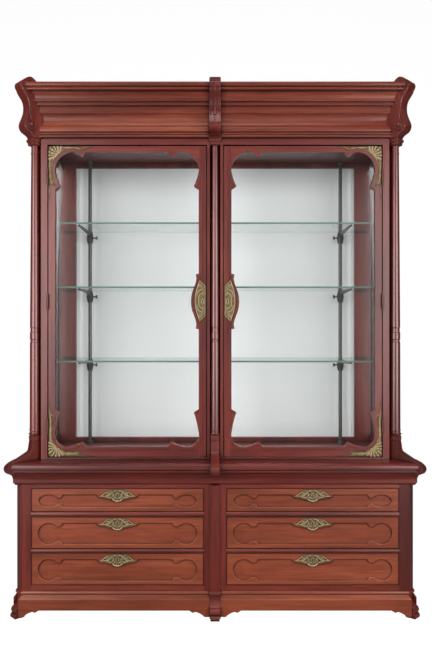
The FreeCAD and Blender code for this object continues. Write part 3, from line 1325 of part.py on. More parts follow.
def sunk_panel(x0, x1, z0, z1):
    """The shaped sunk panel of a drawer front, as a cutting shape."""
    low, high = z0 + PANEL_FOOT_MARGIN, z1 - PANEL_TOP_MARGIN
    tall = high - low
    neck = min(NECK_DEEP, NECK_DEEP_SHARE * tall)
    middle = (x0 + x1) / 2
    left = [(x0 + LOBE_CENTRE, low + neck), (x0 + NECK_A, low + neck), (x0 + PANEL_A, low)]
    right = [(x1 - PANEL_A, low), (x1 - NECK_A, low + neck), (x1 - LOBE_CENTRE, low + neck),
             (x1 - LOBE_CENTRE, high - neck), (x1 - NECK_A, high - neck), (x1 - PANEL_A, high)]
    notch = NOTCH_A
    steps = [(point,) for point in left[1:] + right]
    steps += [((middle + notch, high),), ((middle + notch - NOTCH_SLOPE, high - NOTCH_STEP),),
              ((middle + notch / 2, high - NOTCH_STEP - NOTCH_SLOPE), (middle, high - NOTCH_DEEP)),
              ((middle - notch / 2, high - NOTCH_STEP - NOTCH_SLOPE),
               (middle - notch + NOTCH_SLOPE, high - NOTCH_STEP)),
              ((middle - notch, high),), ((x0 + PANEL_A, high),), ((x0 + NECK_A, high - neck),),
              ((x0 + LOBE_CENTRE, high - neck),)]
    panel = front_plate(outline(left[0], steps), lower_face - PANEL_SUNK, lower_face + OVERRUN)
    lobes = []
    for x in (x0 + LOBE_CENTRE, x1 - LOBE_CENTRE):
        wide, high_half = LOBE_WIDE, tall / 2
        centre = V(x, (low + high) / 2, 0)
        if wide > high_half:
            oval = Part.Ellipse(centre, wide, high_half)
        else:
            oval = Part.Circle(centre, V(0, 0, 1), high_half)
        lobes.append(front_plate(Part.Face(Part.Wire([oval.toShape()])),
                                 lower_face - PANEL_SUNK, lower_face + OVERRUN))
    return panel.fuse(lobes)


def drawer_plate(middle, top):
    """A drawer's brass plate: a lens with scrolled tips, a keyhole and a lip that pulls the drawer."""
    high = top - PLATE_TOP_MARGIN
    low = high - PLATE_HIGH
    half_z = (high + low) / 2
    body, tip = PLATE_BODY, PLATE_TIP
    quarter = PLATE_HIGH / 4
    plan = outline((middle - PLATE_HALF, half_z), [
        ((middle - (PLATE_HALF + body) / 2, half_z + tip), (middle - body, half_z + tip)),
        ((middle - body / 2 - tip, half_z + quarter), (middle - body / 2, high - tip)),
        ((middle, high), (middle + body / 2, high - tip)),
        ((middle + body / 2 + tip, half_z + quarter), (middle + body, half_z + tip)),
        ((middle + (PLATE_HALF + body) / 2, half_z + tip), (middle + PLATE_HALF, half_z)),
        ((middle + (PLATE_HALF + body) / 2, half_z - tip), (middle + body, half_z - tip)),
        ((middle + body / 2 + tip, half_z - quarter), (middle + body / 2, low + tip)),
        ((middle, low), (middle - body / 2, low + tip)),
        ((middle - body / 2 - tip, half_z - quarter), (middle - body, half_z - tip)),
        ((middle - (PLATE_HALF + body) / 2, half_z - tip), (middle - PLATE_HALF, half_z)),
    ])
    plate = front_plate(plan, lower_face, lower_face + PLATE)
    lip_plan = outline((middle - body / 2, low + tip), [
        ((middle, low), (middle + body / 2, low + tip)),
        ((middle + body / 2, low + tip + PLATE_LIP_HIGH),),
        ((middle, low + PLATE_LIP_HIGH), (middle - body / 2, low + tip + PLATE_LIP_HIGH)),
    ])
    lip = front_plate(lip_plan, lower_face, lower_face + PLATE_LIP)
    return plate.fuse(lip).removeSplitter().cut(keyhole(middle, top - DRAWER_KEY_DROP, lower_face))


def drawer(opening):
    """A right-hand drawer's pieces: front, box, lock and bolt."""
    under, over = opening
    x0, x1 = middle_stile + DRAWER_GAP, stile_inner - DRAWER_GAP
    z0, z1 = under + DRAWER_GAP, over - DRAWER_GAP
    back_of_front = lower_face - DRAWER_FRONT
    front = block(x0, x1, lower_face, back_of_front, z0, z1).cut(sunk_panel(x0, x1, z0, z1))
    case_front = lower_face - LOCK_SETBACK
    case = block(drawer_middle - DRAWER_LOCK_WIDE / 2, drawer_middle + DRAWER_LOCK_WIDE / 2,
                 case_front, back_of_front, z1 - DRAWER_LOCK_HIGH, z1)
    bolt = bolt_box(drawer_middle, z1, 0)
    slot = bolt_box(drawer_middle, z1, TOUCH).fuse(
        block(drawer_middle - BOLT_WIDE / 2 - TOUCH, drawer_middle + BOLT_WIDE / 2 + TOUCH,
              case_front - (LOCK_CASE - BOLT_THICK) / 2 + TOUCH,
              case_front - (LOCK_CASE + BOLT_THICK) / 2 - TOUCH,
              z1 - BOLT_LONG, z1 + OVERRUN))
    front = front.cut([case, keyhole(drawer_middle, z1 - DRAWER_KEY_DROP, lower_face - OVERRUN)])
    side_x = middle_stile + DRAWER_SIDE_GAP
    far_x = stile_inner - DRAWER_SIDE_GAP
    box_under, box_top = under + TOUCH, over - DRAWER_HEADROOM
    rear = DRAWER_REAR_ROOM - CASE_BACK
    bottom_z = box_under + DRAWER_BOTTOM_UP
    box = [block(side_x, side_x + DRAWER_SIDE, back_of_front, rear, box_under, box_top),
           block(far_x - DRAWER_SIDE, far_x, back_of_front, rear, box_under, box_top),
           block(side_x + DRAWER_SIDE, far_x - DRAWER_SIDE, rear, rear + DRAWER_SIDE,
                 bottom_z + DRAWER_BOTTOM, box_top),
           block(side_x + DRAWER_SIDE, far_x - DRAWER_SIDE, rear, back_of_front, bottom_z,
                 bottom_z + DRAWER_BOTTOM)]
    lock = [case.cut(slot), drawer_plate(drawer_middle, z1)]
    return front, box, lock, bolt


def drawers():
    for level, opening in zip(("top", "middle", "bottom"), openings):
        front, box, lock, bolt = drawer(opening)
        for side, turn in (("right", lambda shape: shape), ("left", left_of)):
            name = "drawer_" + side + "_" + level
            keep(name + "_front", [turn(front)])
            keep(name + "_box", [turn(piece) for piece in box])
            keep(name + "_lock", [turn(piece) for piece in lock])
            keep(name + "_bolt", [turn(bolt)])


corbels()
ledge_scrolls()
pilasters()
colonettes()
keep("cornice", [piece.cut(nodes["colonettes"] + nodes["crown_corbels"]) for piece in crown_mouldings()])
ledge()
face_frame()
base_case()
plinth()
runners()
upper_posts()
side_frames()
upper_boards()
back_of_case()
doors()
shelf_uprights()
shelves()
drawers()

os.makedirs("parts", exist_ok=True)
for name, pieces in nodes.items():
    shape = pieces[0] if len(pieces) == 1 else Part.makeCompound(pieces)
    shape.exportStep("parts/" + name + ".step")
    sound = all(piece.isValid() and piece.ShapeType == "Solid" for piece in pieces)
    print(name, len(pieces), "sound" if sound else "NOT SOUND")
print(len(nodes), "nodes")
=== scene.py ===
import bmesh
import bpy
import math
import numpy as np
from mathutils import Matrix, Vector


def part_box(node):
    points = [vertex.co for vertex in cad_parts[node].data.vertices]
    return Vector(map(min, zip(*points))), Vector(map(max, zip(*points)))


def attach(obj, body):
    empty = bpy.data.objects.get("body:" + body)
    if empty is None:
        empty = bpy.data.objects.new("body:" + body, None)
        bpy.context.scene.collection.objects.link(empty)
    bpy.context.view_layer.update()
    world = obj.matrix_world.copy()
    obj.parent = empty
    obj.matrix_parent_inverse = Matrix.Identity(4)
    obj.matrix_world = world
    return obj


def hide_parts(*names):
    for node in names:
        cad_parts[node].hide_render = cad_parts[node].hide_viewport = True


# The display cabinet's looks: polished mahogany, cast brass mounts, clear glass and a pale back panel.
# Everything is in metres. X runs to the right, Y to the back, Z up.

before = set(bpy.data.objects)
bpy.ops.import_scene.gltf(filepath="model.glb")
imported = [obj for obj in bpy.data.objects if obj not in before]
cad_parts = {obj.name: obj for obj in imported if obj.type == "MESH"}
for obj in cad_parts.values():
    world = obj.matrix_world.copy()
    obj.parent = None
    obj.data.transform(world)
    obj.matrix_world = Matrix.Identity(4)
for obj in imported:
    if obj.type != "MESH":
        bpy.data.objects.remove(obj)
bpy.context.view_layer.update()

# The photograph's view
CAMERA_DISTANCE = 3.0  # from the plane of the door fronts
CAMERA_HEIGHT = 1.33
CAMERA_X = 0.0042
FOCAL_MM = 36.2
SENSOR_MM = 36.0
FAR_CLIP = 60.0

# Surfaces of the cabinet, read from the frame
front_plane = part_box("door_right_frame")[0].y
drawer_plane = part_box("drawer_right_top_front")[0].y
shelf_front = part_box("shelf_low_glass")[0].y

# Nodes

BLACK = (0.0, 0.0, 0.0)
WHITE = (1.0, 1.0, 1.0)
BUMP_DEEP = 0.0002


class Shading:
    """The nodes of a material or of the world."""

    def __init__(self, tree):
        self.nodes = tree.nodes
        self.links = tree.links
        self.nodes.clear()

    def add(self, kind, sockets=None, **settings):
        """A node with its settings, and a value or a link for each socket that is named."""
        node = self.nodes.new("ShaderNode" + kind)
        for key, value in settings.items():
            setattr(node, key, value)
        for key, value in (sockets or {}).items():
            self.feed(node.inputs[key], value)
        return node

    def feed(self, socket, value):
        if isinstance(value, bpy.types.NodeSocket):
            self.links.new(value, socket)
        elif socket.type == "RGBA":
            socket.default_value = (*value, 1)
        else:
            socket.default_value = value

    def place(self):
        return self.add("TexCoord").outputs["Object"]

    def geometry(self, name):
        return self.add("NewGeometry").outputs[name]

    def ray(self, name):
        return self.add("LightPath").outputs[name]

    def axis(self, vector, name):
        return self.add("SeparateXYZ", {0: vector}).outputs[name]

    def maths(self, operation, *values):
        return self.add("Math", dict(enumerate(values)), operation=operation).outputs[0]

    def noise(self, vector, scale, detail=2.0, bend=0.0):
        sockets = {"Vector": vector, "Scale": scale, "Detail": detail, "Distortion": bend}
        return self.add("TexNoise", sockets).outputs["Fac"]

    def span(self, value, low=0.0, high=1.0, to_low=0.0, to_high=1.0):
        """A value's range carried over to another."""
        sockets = {"Value": value, "From Min": low, "From Max": high, "To Min": to_low, "To Max": to_high}
        return self.add("MapRange", sockets).outputs["Result"]

    def ramp(self, source, stops):
        """A colour ramp; each stop is a share along it and a colour."""
        node = self.add("ValToRGB", {"Fac": source})
        elements = node.color_ramp.elements
        while len(elements) < len(stops):
            elements.new(1)
        for element, (share, colour) in zip(elements, stops):
            element.position = share
            element.color = (*colour, 1)
        return node.outputs["Color"]

    def toned(self, share, colour, tone):
        """A colour multiplied by a tone, to the share given."""
        node = self.add("Mix", data_type="RGBA", blend_type="MULTIPLY")
        for name, value in (("Factor", share), ("A", colour), ("B", tone)):
            self.feed([s for s in node.inputs if s.name == name and s.enabled][0], value)
        return [s for s in node.outputs if s.enabled][0]

    def bump(self, height, strength, normal=None):
        node = self.add("Bump", {"Height": height, "Strength": strength, "Distance": BUMP_DEEP})
        if normal:
            self.feed(node.inputs["Normal"], normal)
        return node.outputs["Normal"]

    def either(self, share, first, second):
        """The first shader, with the second to the share given."""
        return self.add("MixShader", {0: share, 1: first, 2: second}).outputs[0]

    def finish(self, shader, output="OutputMaterial"):
        self.add(output, {"Surface": shader})


def new_material(name):
    material = bpy.data.materials.new(name)
    material.use_nodes = True
    return material, Shading(material.node_tree)


# Wood

UPRIGHT, LEVEL, LENGTHWISE = "upright", "level", "lengthwise"
GRAIN_SCALES = {UPRIGHT: (1.0, 1.0, 0.06), LEVEL: (0.06, 0.06, 1.0), LENGTHWISE: (0.06, 1.0, 1.0)}

# Each noise: how many to the metre, how detailed and how bent
FIGURE_NOISE = (14.0, 5, 0.6)  # broad bands
GRAIN_NOISE = (120.0, 6)
PORE_NOISE = (900.0, 2)
CLOUD_NOISE = (2.2,)

# Tones by which a layer multiplies the colour, and the share to which it does
FIGURE_STOPS = (0.32, 0.50, 0.68)
GRAIN_TONES = ((0.30, (0.70, 0.66, 0.64)), (0.62, (1.10, 1.10, 1.10)))
GRAIN_SHARE = 0.8
PORE_TONES = ((0.30, (0.62, 0.55, 0.52)), (0.42, WHITE))
PORE_SHARE = 0.55
CLOUD_TONES = ((0.30, (0.86, 0.84, 0.84)), (0.70, (1.12, 1.10, 1.10)))
CLOUD_SHARE = 0.7
BOARD_TONES = ((0.0, (0.90, 0.88, 0.88)), (1.0, (1.08, 1.08, 1.08)))
BOARD_SHARE = 0.8

# Edges: a painted highlight on the arris, painted shade where they look down and a painted highlight where
# they look up
EDGE_ROUND = 0.0022
BEVEL_SAMPLES = 4
EDGE_HIGHLIGHT_FROM = 0.84
EDGE_HIGHLIGHT_TO = 0.985
EDGE_HIGHLIGHT = (1.5, 1.8, 1.8)
TILT_LIGHT_SPAN = 0.6
TILT_LIGHT_TONES = ((0.10, (0.22, 0.14, 0.12)), (0.44, WHITE), (0.56, WHITE), (0.90, (1.8, 2.2, 2.2)))

# Painted shade in recesses and creases
OCCLUSION_SAMPLES = 6
RECESS_SHADE_DEEP = 0.022
RECESS_SHADE_TONES = ((0.05, (0.05, 0.03, 0.03)), (0.40, (0.42, 0.32, 0.30)), (0.88, WHITE))
CREASE_SHADE_DEEP = 0.009
CREASE_SHADE_TONES = ((0.45, (0.22, 0.15, 0.14)), (0.85, WHITE))

# The drawer fronts' softer edges with their own painted highlight, tilt and crease shade, and the painted
# shade along their rims
DRAWER_EDGE = 0.006
DRAWER_EDGE_HIGHLIGHT = (1.1, 1.15, 1.15)
DRAWER_TILT_LIGHT_SPAN = 0.2
DRAWER_CREASE_SHADE = 0.013
DRAWER_RIM_SHADE = (0.0028, 0.016)  # shares of the front's width and height
RIM_SHADE = (0.16, 0.10, 0.09)

POLISH_LESS = 0.06
POLISH_MORE = 0.08
COAT_ROUGHNESS = 0.16
PORE_BUMP = 0.35

MAHOGANY = ((0.085, 0.0100, 0.0065), (0.140, 0.0170, 0.0115), (0.200, 0.0320, 0.0210))
# SHADED is a darker copy of the mahogany: painted shade for the corbels, scrolls, pilasters, ledge and lower
# face frame
SHADED = ((0.075, 0.009, 0.006), (0.122, 0.013, 0.008), (0.180, 0.027, 0.017))
CORNICE = ((0.130, 0.022, 0.010), (0.180, 0.032, 0.016), (0.235, 0.056, 0.028))
FRONTS = ((0.185, 0.037, 0.015), (0.235, 0.050, 0.020), (0.295, 0.072, 0.032))
INNER = ((0.25, 0.14, 0.07), (0.36, 0.21, 0.11), (0.46, 0.30, 0.17))


def grain_coordinates(shading, grain, level_zone):
    """Coordinates stretched along the grain, and a test for level_zone: an axis and its reach, where rails
    run level."""
    place = shading.place()

    def stretched(kind):
        return shading.add("Mapping", {"Vector": place, "Scale": GRAIN_SCALES[kind]}).outputs["Vector"]

    main = stretched(grain)
    if not level_zone:
        return main, None
    axis, low, high = level_zone
    distance = shading.axis(place, axis)
    if axis == "X":
        distance = shading.maths("ABSOLUTE", distance)
    above = shading.maths("GREATER_THAN", distance, low)
    below = shading.maths("LESS_THAN", distance, high)
    inside = shading.maths("MULTIPLY", above, below)
    choice = shading.add("Mix", {"Factor": inside}, data_type="VECTOR")
    first, second = [s for s in choice.inputs if s.type == "VECTOR" and s.name in ("A", "B")]
    shading.feed(first, main)
    shading.feed(second, stretched(LEVEL))
    return [s for s in choice.outputs if s.type == "VECTOR"][0], inside


def rim_shaded(shading, colour, rim):
    """Painted shade along a front's outer edges; rim is its share of the width and of the height."""
    across = shading.add("TexCoord").outputs["Generated"]
    for axis, share in zip(("X", "Z"), rim):
        off = shading.maths("ABSOLUTE", shading.maths("SUBTRACT", shading.axis(across, axis), 1 / 2))
        shade = shading.ramp(off, ((1 / 2 - 2 * share, WHITE), (1 / 2 - share, RIM_SHADE)))
        colour = shading.toned(1.0, colour, shade)
    return colour


def wood(name, colours, grain, level_zone=None, roughness=0.33, coat=0.2, polish=0.5, edge=EDGE_ROUND,
         edge_highlight=EDGE_HIGHLIGHT, tilt_light_span=TILT_LIGHT_SPAN, rim=None, zone_tone=None, crease_shade_deep=CREASE_SHADE_DEEP):
    material, shading = new_material(name)
    along, in_zone = grain_coordinates(shading, grain, level_zone)
    fine = shading.noise(along, *GRAIN_NOISE)
    pores = shading.noise(along, *PORE_NOISE)
    rounded = shading.add("Bevel", {"Radius": edge}, samples=BEVEL_SAMPLES).outputs["Normal"]
    normal = shading.geometry("Normal")
    turned = shading.add("VectorMath", {0: rounded, 1: normal}, operation="DOT_PRODUCT").outputs["Value"]
    tilt = shading.maths("SUBTRACT", shading.axis(rounded, "Z"), shading.axis(normal, "Z"))

    def occlusion(distance):
        sockets = {"Distance": distance}
        return shading.add("AmbientOcclusion", sockets, samples=OCCLUSION_SAMPLES).outputs["AO"]

    layers = (
        (GRAIN_SHARE, fine, GRAIN_TONES),
        (PORE_SHARE, pores, PORE_TONES),
        (CLOUD_SHARE, shading.noise(shading.place(), *CLOUD_NOISE), CLOUD_TONES),
        (BOARD_SHARE, shading.geometry("Random Per Island"), BOARD_TONES),
        # a painted highlight along every edge that the bevel rounds
        (1.0, turned, ((EDGE_HIGHLIGHT_FROM, edge_highlight), (EDGE_HIGHLIGHT_TO, WHITE))),
        # painted shade on edges that look down and a painted highlight on edges that look up
        (1.0, shading.span(tilt, -tilt_light_span, tilt_light_span), TILT_LIGHT_TONES),
        # painted shade in recesses and creases, from occlusion
        (1.0, occlusion(RECESS_SHADE_DEEP), RECESS_SHADE_TONES),
        (1.0, occlusion(crease_shade_deep), CREASE_SHADE_TONES),
    )
    colour = shading.ramp(shading.noise(along, *FIGURE_NOISE), tuple(zip(FIGURE_STOPS, colours)))
    for share, source, tones in layers:
        colour = shading.toned(share, colour, shading.ramp(source, tones))
    if zone_tone:
        colour = shading.toned(in_zone, colour, zone_tone)
    # painted shade along the drawer fronts' rims
    if rim:
        colour = rim_shaded(shading, colour, rim)
    rough = shading.span(fine, to_low=roughness - POLISH_LESS, to_high=roughness + POLISH_MORE)
    shader = shading.add("BsdfPrincipled", {
        "Base Color": colour, "Roughness": rough, "Specular IOR Level": polish, "Coat Weight": coat,
        "Coat Roughness": COAT_ROUGHNESS, "Normal": shading.bump(pores, PORE_BUMP, rounded)})
    shading.finish(shader.outputs[0])
    return material


PANEL_NOISE = (3.0, 3)
PANEL_TONES = ((0.3, (0.87, 0.90, 0.905)), (0.7, (0.91, 0.935, 0.94)))
PANEL_ROUGHNESS = 0.75
GRIT_NOISE = (700.0,)
GRIT_BUMP = 0.15


def painted_panel():
    material, shading = new_material("pale_panel_paint")
    place = shading.place()
    shader = shading.add("BsdfPrincipled", {
        "Base Color": shading.ramp(shading.noise(place, *PANEL_NOISE), PANEL_TONES),
        "Roughness": PANEL_ROUGHNESS,
        "Normal": shading.bump(shading.noise(place, *GRIT_NOISE), GRIT_BUMP)})
    shading.finish(shader.outputs[0])
    return material


# Metal and glass

BRASS_TONES = ((0.38, (0.040, 0.024, 0.009)), (0.60, (0.235, 0.165, 0.075)), (0.90, (0.62, 0.50, 0.29)))
BRASS_STAIN = (210.0, 6)
BRASS_STAIN_SHARE = 0.55
BRASS_SCALE = 0.64
BRASS_STIPPLE = 520.0
BRASS_METALLIC = 0.4
BRASS_DULL = 0.62
BRASS_SHINY = 0.36
BRASS_BUMP = 0.6

METAL_STAIN = (90.0, 5)
BOLT_STEEL = ((0.30, 0.30, 0.30), (0.45, 0.44, 0.43))
LOCK_STEEL = ((0.20, 0.18, 0.15), (0.34, 0.31, 0.26))
UPRIGHT_METAL = ((0.060, 0.055, 0.048), (0.15, 0.14, 0.12))
BRACKET_METAL = ((0.012, 0.009, 0.007), (0.045, 0.034, 0.024))
HINGE_BRONZE = ((0.090, 0.026, 0.018), (0.150, 0.046, 0.030))
METAL_STOPS = (0.3, 0.7)
METAL_ROUGHNESS = 0.38

PANE_TINT = (0.992, 0.997, 0.995)
PANE_ROUGHNESS = 0.045
PANE_INDEX = 1.5

SHELF_FACE_TINT = (0.975, 0.99, 0.985)
SHELF_EDGE_COLOUR = (0.12, 0.20, 0.165)
SHELF_EDGE_ROUGHNESS = 0.12
SHELF_REAR_SHARE = 0.12
SHELF_FRONT_Y = 0.03  # nearer than this, a shelf's edge is its front one
SHELF_POLISH = 0.02
SHELF_MIRROR = 0.35


def brass(name, base_plane, depth):
    """Old cast brass: dark in the hollows near the base plane, worn bright on the crests."""
    material, shading = new_material(name)
    place = shading.place()
    height = shading.span(shading.axis(place, "Y"), base_plane, base_plane - depth)
    stipple = shading.add("TexVoronoi", {"Vector": place, "Scale": BRASS_STIPPLE}).outputs["Distance"]
    stain = shading.maths("MULTIPLY", shading.noise(place, *BRASS_STAIN), BRASS_STAIN_SHARE)
    worn = shading.maths("MULTIPLY", shading.maths("ADD", stain, height), BRASS_SCALE)
    shader = shading.add("BsdfPrincipled", {
        "Metallic": BRASS_METALLIC,
        "Base Color": shading.ramp(worn, BRASS_TONES),
        "Roughness": shading.span(worn, to_low=BRASS_DULL, to_high=BRASS_SHINY),
        "Normal": shading.bump(stipple, BRASS_BUMP)})
    shading.finish(shader.outputs[0])
    return material


def dark_metal(name, colours, metallic=0.8):
    material, shading = new_material(name)
    stain = shading.noise(shading.place(), *METAL_STAIN)
    shader = shading.add("BsdfPrincipled", {
        "Metallic": metallic,
        "Roughness": METAL_ROUGHNESS,
        "Base Color": shading.ramp(stain, tuple(zip(METAL_STOPS, colours)))})
    shading.finish(shader.outputs[0])
    return material


def not_for_shadow(shading, share):
    """A share that is nothing for the rays that look for shadow."""
    return shading.maths("MULTIPLY", share, shading.maths("SUBTRACT", 1.0, shading.ray("Is Shadow Ray")))


def pane_shader(shading, tint, roughness, mirror):
    """What a pane's face does: it passes straight light, reflects a share of Fresnel's, and casts no shadow.
    The index is turned round on faces seen from inside, since the pane doesn't bend light."""
    clear = shading.add("BsdfTransparent", {"Color": tint})
    gloss = shading.add("BsdfGlossy", {"Roughness": roughness})
    turned = shading.maths("MULTIPLY", shading.geometry("Backfacing"), PANE_INDEX - 1 / PANE_INDEX)
    fresnel = shading.add("Fresnel", {"IOR": shading.maths("SUBTRACT", PANE_INDEX, turned)})
    share = not_for_shadow(shading, shading.maths("MULTIPLY", fresnel.outputs[0], mirror))
    return shading.either(share, clear.outputs[0], gloss.outputs[0])


def pane_glass():
    material, shading = new_material("clear_pane")
    shading.finish(pane_shader(shading, PANE_TINT, PANE_ROUGHNESS, 1.0))
    return material


def shelf_glass():
    """A shelf's glass: nearly clear through its faces and green on its edges."""
    material, shading = new_material("shelf_glass_green")
    face = pane_shader(shading, SHELF_FACE_TINT, SHELF_POLISH, SHELF_MIRROR)
    edge = shading.add("BsdfPrincipled", {"Base Color": SHELF_EDGE_COLOUR, "Roughness": SHELF_EDGE_ROUGHNESS})
    slope = shading.maths("ABSOLUTE", shading.axis(shading.geometry("Normal"), "Z"))
    on_edge = shading.maths("LESS_THAN", slope, 1 / 2)
    at_front = shading.maths("LESS_THAN", shading.axis(shading.place(), "Y"), shelf_front + SHELF_FRONT_Y)
    green = shading.maths("MAXIMUM", at_front, SHELF_REAR_SHARE)
    share = not_for_shadow(shading, shading.maths("MULTIPLY", on_edge, green))
    shading.finish(shading.either(share, face, edge.outputs[0]))
    return material


# Relief: castings and carving, raised on a fine grid from strokes and bosses

MM = 0.001
CELL = 0.9  # mm between the grid's points
TINY = 0.0009
SINK = 0.5  # mm that the relief's edges go into what carries it
SHOWN = 0.05  # mm from which a height counts
GROUND_FROM = 0.3
PATH_STEPS = 7
LEAST_WIDTH = 0.1
VEIN_DEPTH_SHARE = 0.35
VEIN_WIDTH_SHARE = 0.3
SPIRAL_STEPS = 14  # to a turn
SPIRAL_LEAST = 8
FAN_SHARES = (0.15, 0.55, 0.85, 1.0)  # places along a leaf, and its widths there
FAN_WIDTHS = (0.45, 0.85, 1.0, 0.55)
FAN_DROOP = 0.10


def half_round(across):
    """Heights of a round form, by how far across it a place lies."""
    return np.sqrt(np.clip(1 - across * across, 0, 1))


class Relief:
    """A grid of heights over a flat place, in millimetres along two directions."""

    def __init__(self, low, high):
        self.a = np.arange(low[0], high[0], CELL)
        self.b = np.arange(low[1], high[1], CELL)
        self.grid_a, self.grid_b = np.meshgrid(self.a, self.b, indexing="ij")
        self.heights = np.zeros_like(self.grid_a)

    def away(self, a, b):
        return np.hypot(self.grid_a - a, self.grid_b - b)

    def raise_to(self, shape):
        self.heights = np.maximum(self.heights, shape)

    def clear(self, where):
        self.heights = np.where(where, 0, self.heights)

    def ground(self, inside, height):
        """A flat ground with a soft edge, where the test is true."""
        flat = inside.astype(float)
        for axis in (0, 1):
            flat = (np.roll(flat, 1, axis) + flat + np.roll(flat, -1, axis)) / 3
        self.raise_to(np.where(flat > GROUND_FROM, height * np.minimum(flat, 1), 0))

    def piece(self, start, end, vein=False):
        """A short straight piece of a stroke; both ends are (a, b, half width, height)."""
        run_a, run_b = end[0] - start[0], end[1] - start[1]
        length = max(run_a * run_a + run_b * run_b, TINY * TINY)
        share = ((self.grid_a - start[0]) * run_a + (self.grid_b - start[1]) * run_b) / length
        share = np.clip(share, 0, 1)
        away = self.away(start[0] + share * run_a, start[1] + share * run_b)
        wide = start[2] + (end[2] - start[2]) * share
        high = start[3] + (end[3] - start[3]) * share
        across = away / np.maximum(wide, TINY)
        dome = high * half_round(across)
        if vein:
            dome = dome * (1 - VEIN_DEPTH_SHARE * np.exp(-(across / VEIN_WIDTH_SHARE) ** 2))
        self.raise_to(dome)

    def chain(self, points, vein=False):
        for start, end in zip(points, points[1:]):
            self.piece(start, end, vein)

    def stroke(self, points, vein=False):
        """A smooth ribbon through points of (a, b, half width, height)."""
        self.chain(smooth_path(points), vein)

    def dome(self, a, b, reach_a, reach_b, height):
        across = np.hypot((self.grid_a - a) / reach_a, (self.grid_b - b) / reach_b)
        self.raise_to(height * half_round(across))

    def boss(self, a, b, radius, height, hole=0):
        """A dome, or a ring where it has a hole."""
        middle, wide = ((radius + hole) / 2, (radius - hole) / 2) if hole else (0, radius)
        self.raise_to(height * half_round((self.away(a, b) - middle) / wide))

    def spiral(self, a, b, start_radius, end_radius, turns, start_angle, wide, high):
        """A spiral ribbon that tapers towards its eye."""
        points = []
        count = max(SPIRAL_LEAST, int(SPIRAL_STEPS * abs(turns)))
        for step in range(count + 1):
            share = step / count
            angle = start_angle + share * turns * 2 * math.pi
            radius = start_radius + (end_radius - start_radius) * share
            points.append((a + radius * math.cos(angle), b + radius * math.sin(angle),
                           wide * (1 - share / 2), high * (1 - share / 4)))
        self.chain(points)

    def fan(self, a, b, aim, length, spread, count, wide, high):
        """Leaves that radiate from a point about a direction, in degrees from b towards a."""
        for step in range(count):
            off = (step / (count - 1) - 1 / 2) * math.radians(spread)
            angle = math.radians(aim) + off
            long = length * (1 - FAN_DROOP * abs(math.sin(off)))
            self.stroke([(a + long * share * math.sin(angle), b + long * share * math.cos(angle),
                          wide * width, high) for share, width in zip(FAN_SHARES, FAN_WIDTHS)], vein=True)

    def carve(self, design, way_a=1, way_b=1):
        """Raises a design of ribbons, veined leaves, spirals, fans and bosses, whose numbers are those that
        the methods of their names take; a way of -1 mirrors it."""
        for kind, vein in (("ribbons", False), ("leaves", True)):
            for points in design.get(kind, ()):
                self.stroke([(way_a * a, way_b * b, wide, high) for a, b, wide, high in points], vein)
        for a, b, outer, eye, turns, start, *size in design.get("spirals", ()):
            angle = way_b * (start if way_a > 0 else math.pi - start)
            self.spiral(way_a * a, way_b * b, outer, eye, way_a * way_b * turns, angle, *size)
        for fan in design.get("fans", ()):
            self.fan(*fan)
        for a, b, *rest in design.get("bosses", ()):
            self.boss(way_a * a, way_b * b, *rest)

    def punch(self, places, radius, depth):
        """Punched dots that go down towards the ground."""
        for a, b in places:
            self.heights = self.heights - depth * np.clip(1 - self.away(a, b) / radius, 0, 1)

    def mesh(self, name, origin, across, along, out, sink):
        """The relief as a mesh on a plane through origin; out points away from what carries it."""
        used = self.heights > SHOWN
        high = np.where(used, self.heights, -sink)
        cells = used[:-1, :-1] | used[1:, :-1] | used[:-1, 1:] | used[1:, 1:]
        origin, across, along, out = (Vector(v) for v in (origin, across, along, out))
        flip = across.cross(along).dot(out) < 0
        index = {}
        vertices, faces = [], []

        def corner(i, j):
            if (i, j) not in index:
                index[(i, j)] = len(vertices)
                vertices.append(origin + (across * float(self.a[i]) + along * float(self.b[j])
                                          + out * float(high[i, j])) * MM)
            return index[(i, j)]

        for i, j in zip(*np.nonzero(cells)):
            loop = [corner(i, j), corner(i + 1, j), corner(i + 1, j + 1), corner(i, j + 1)]
            faces.append(loop[::-1] if flip else loop)
        return smooth_mesh(name, vertices, faces)


def smooth_path(points):
    """Points along a smooth line through rows of numbers."""
    rows = [np.array(point, dtype=float) for point in points]
    rows = [2 * rows[0] - rows[1]] + rows + [2 * rows[-1] - rows[-2]]
    path = []
    for before, first, second, after in zip(rows, rows[1:], rows[2:], rows[3:]):
        for step in range(PATH_STEPS):
            t = step / PATH_STEPS
            path.append((2 * first + (second - before) * t
                         + (2 * before - 5 * first + 4 * second - after) * t * t
                         + (3 * first - before - 3 * second + after) * t * t * t) / 2)
    path.append(rows[-2])
    for row in path:
        row[2] = max(row[2], LEAST_WIDTH)
        row[3] = max(row[3], 0)
    return path


def smooth_mesh(name, vertices, faces):
    mesh = bpy.data.meshes.new(name)
    mesh.from_pydata(vertices, [], faces)
    for face in mesh.polygons:
        face.use_smooth = True
    return mesh


# Pieces of the scene

WELD = 1e-6


def linked(name, data):
    """An object for a mesh, a lamp or a camera, in the scene."""
    thing = bpy.data.objects.new(name, data)
    bpy.context.scene.collection.objects.link(thing)
    return thing


def riding(name, mesh, material, body):
    mesh.materials.append(material)
    piece = linked(name, mesh)
    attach(piece, body)
    return piece


def place_relief(relief, name, body, material, origin, across, along, out, sink=SINK):
    piece = riding(name, relief.mesh(name, origin, across, along, out, sink), material, body)
    return piece


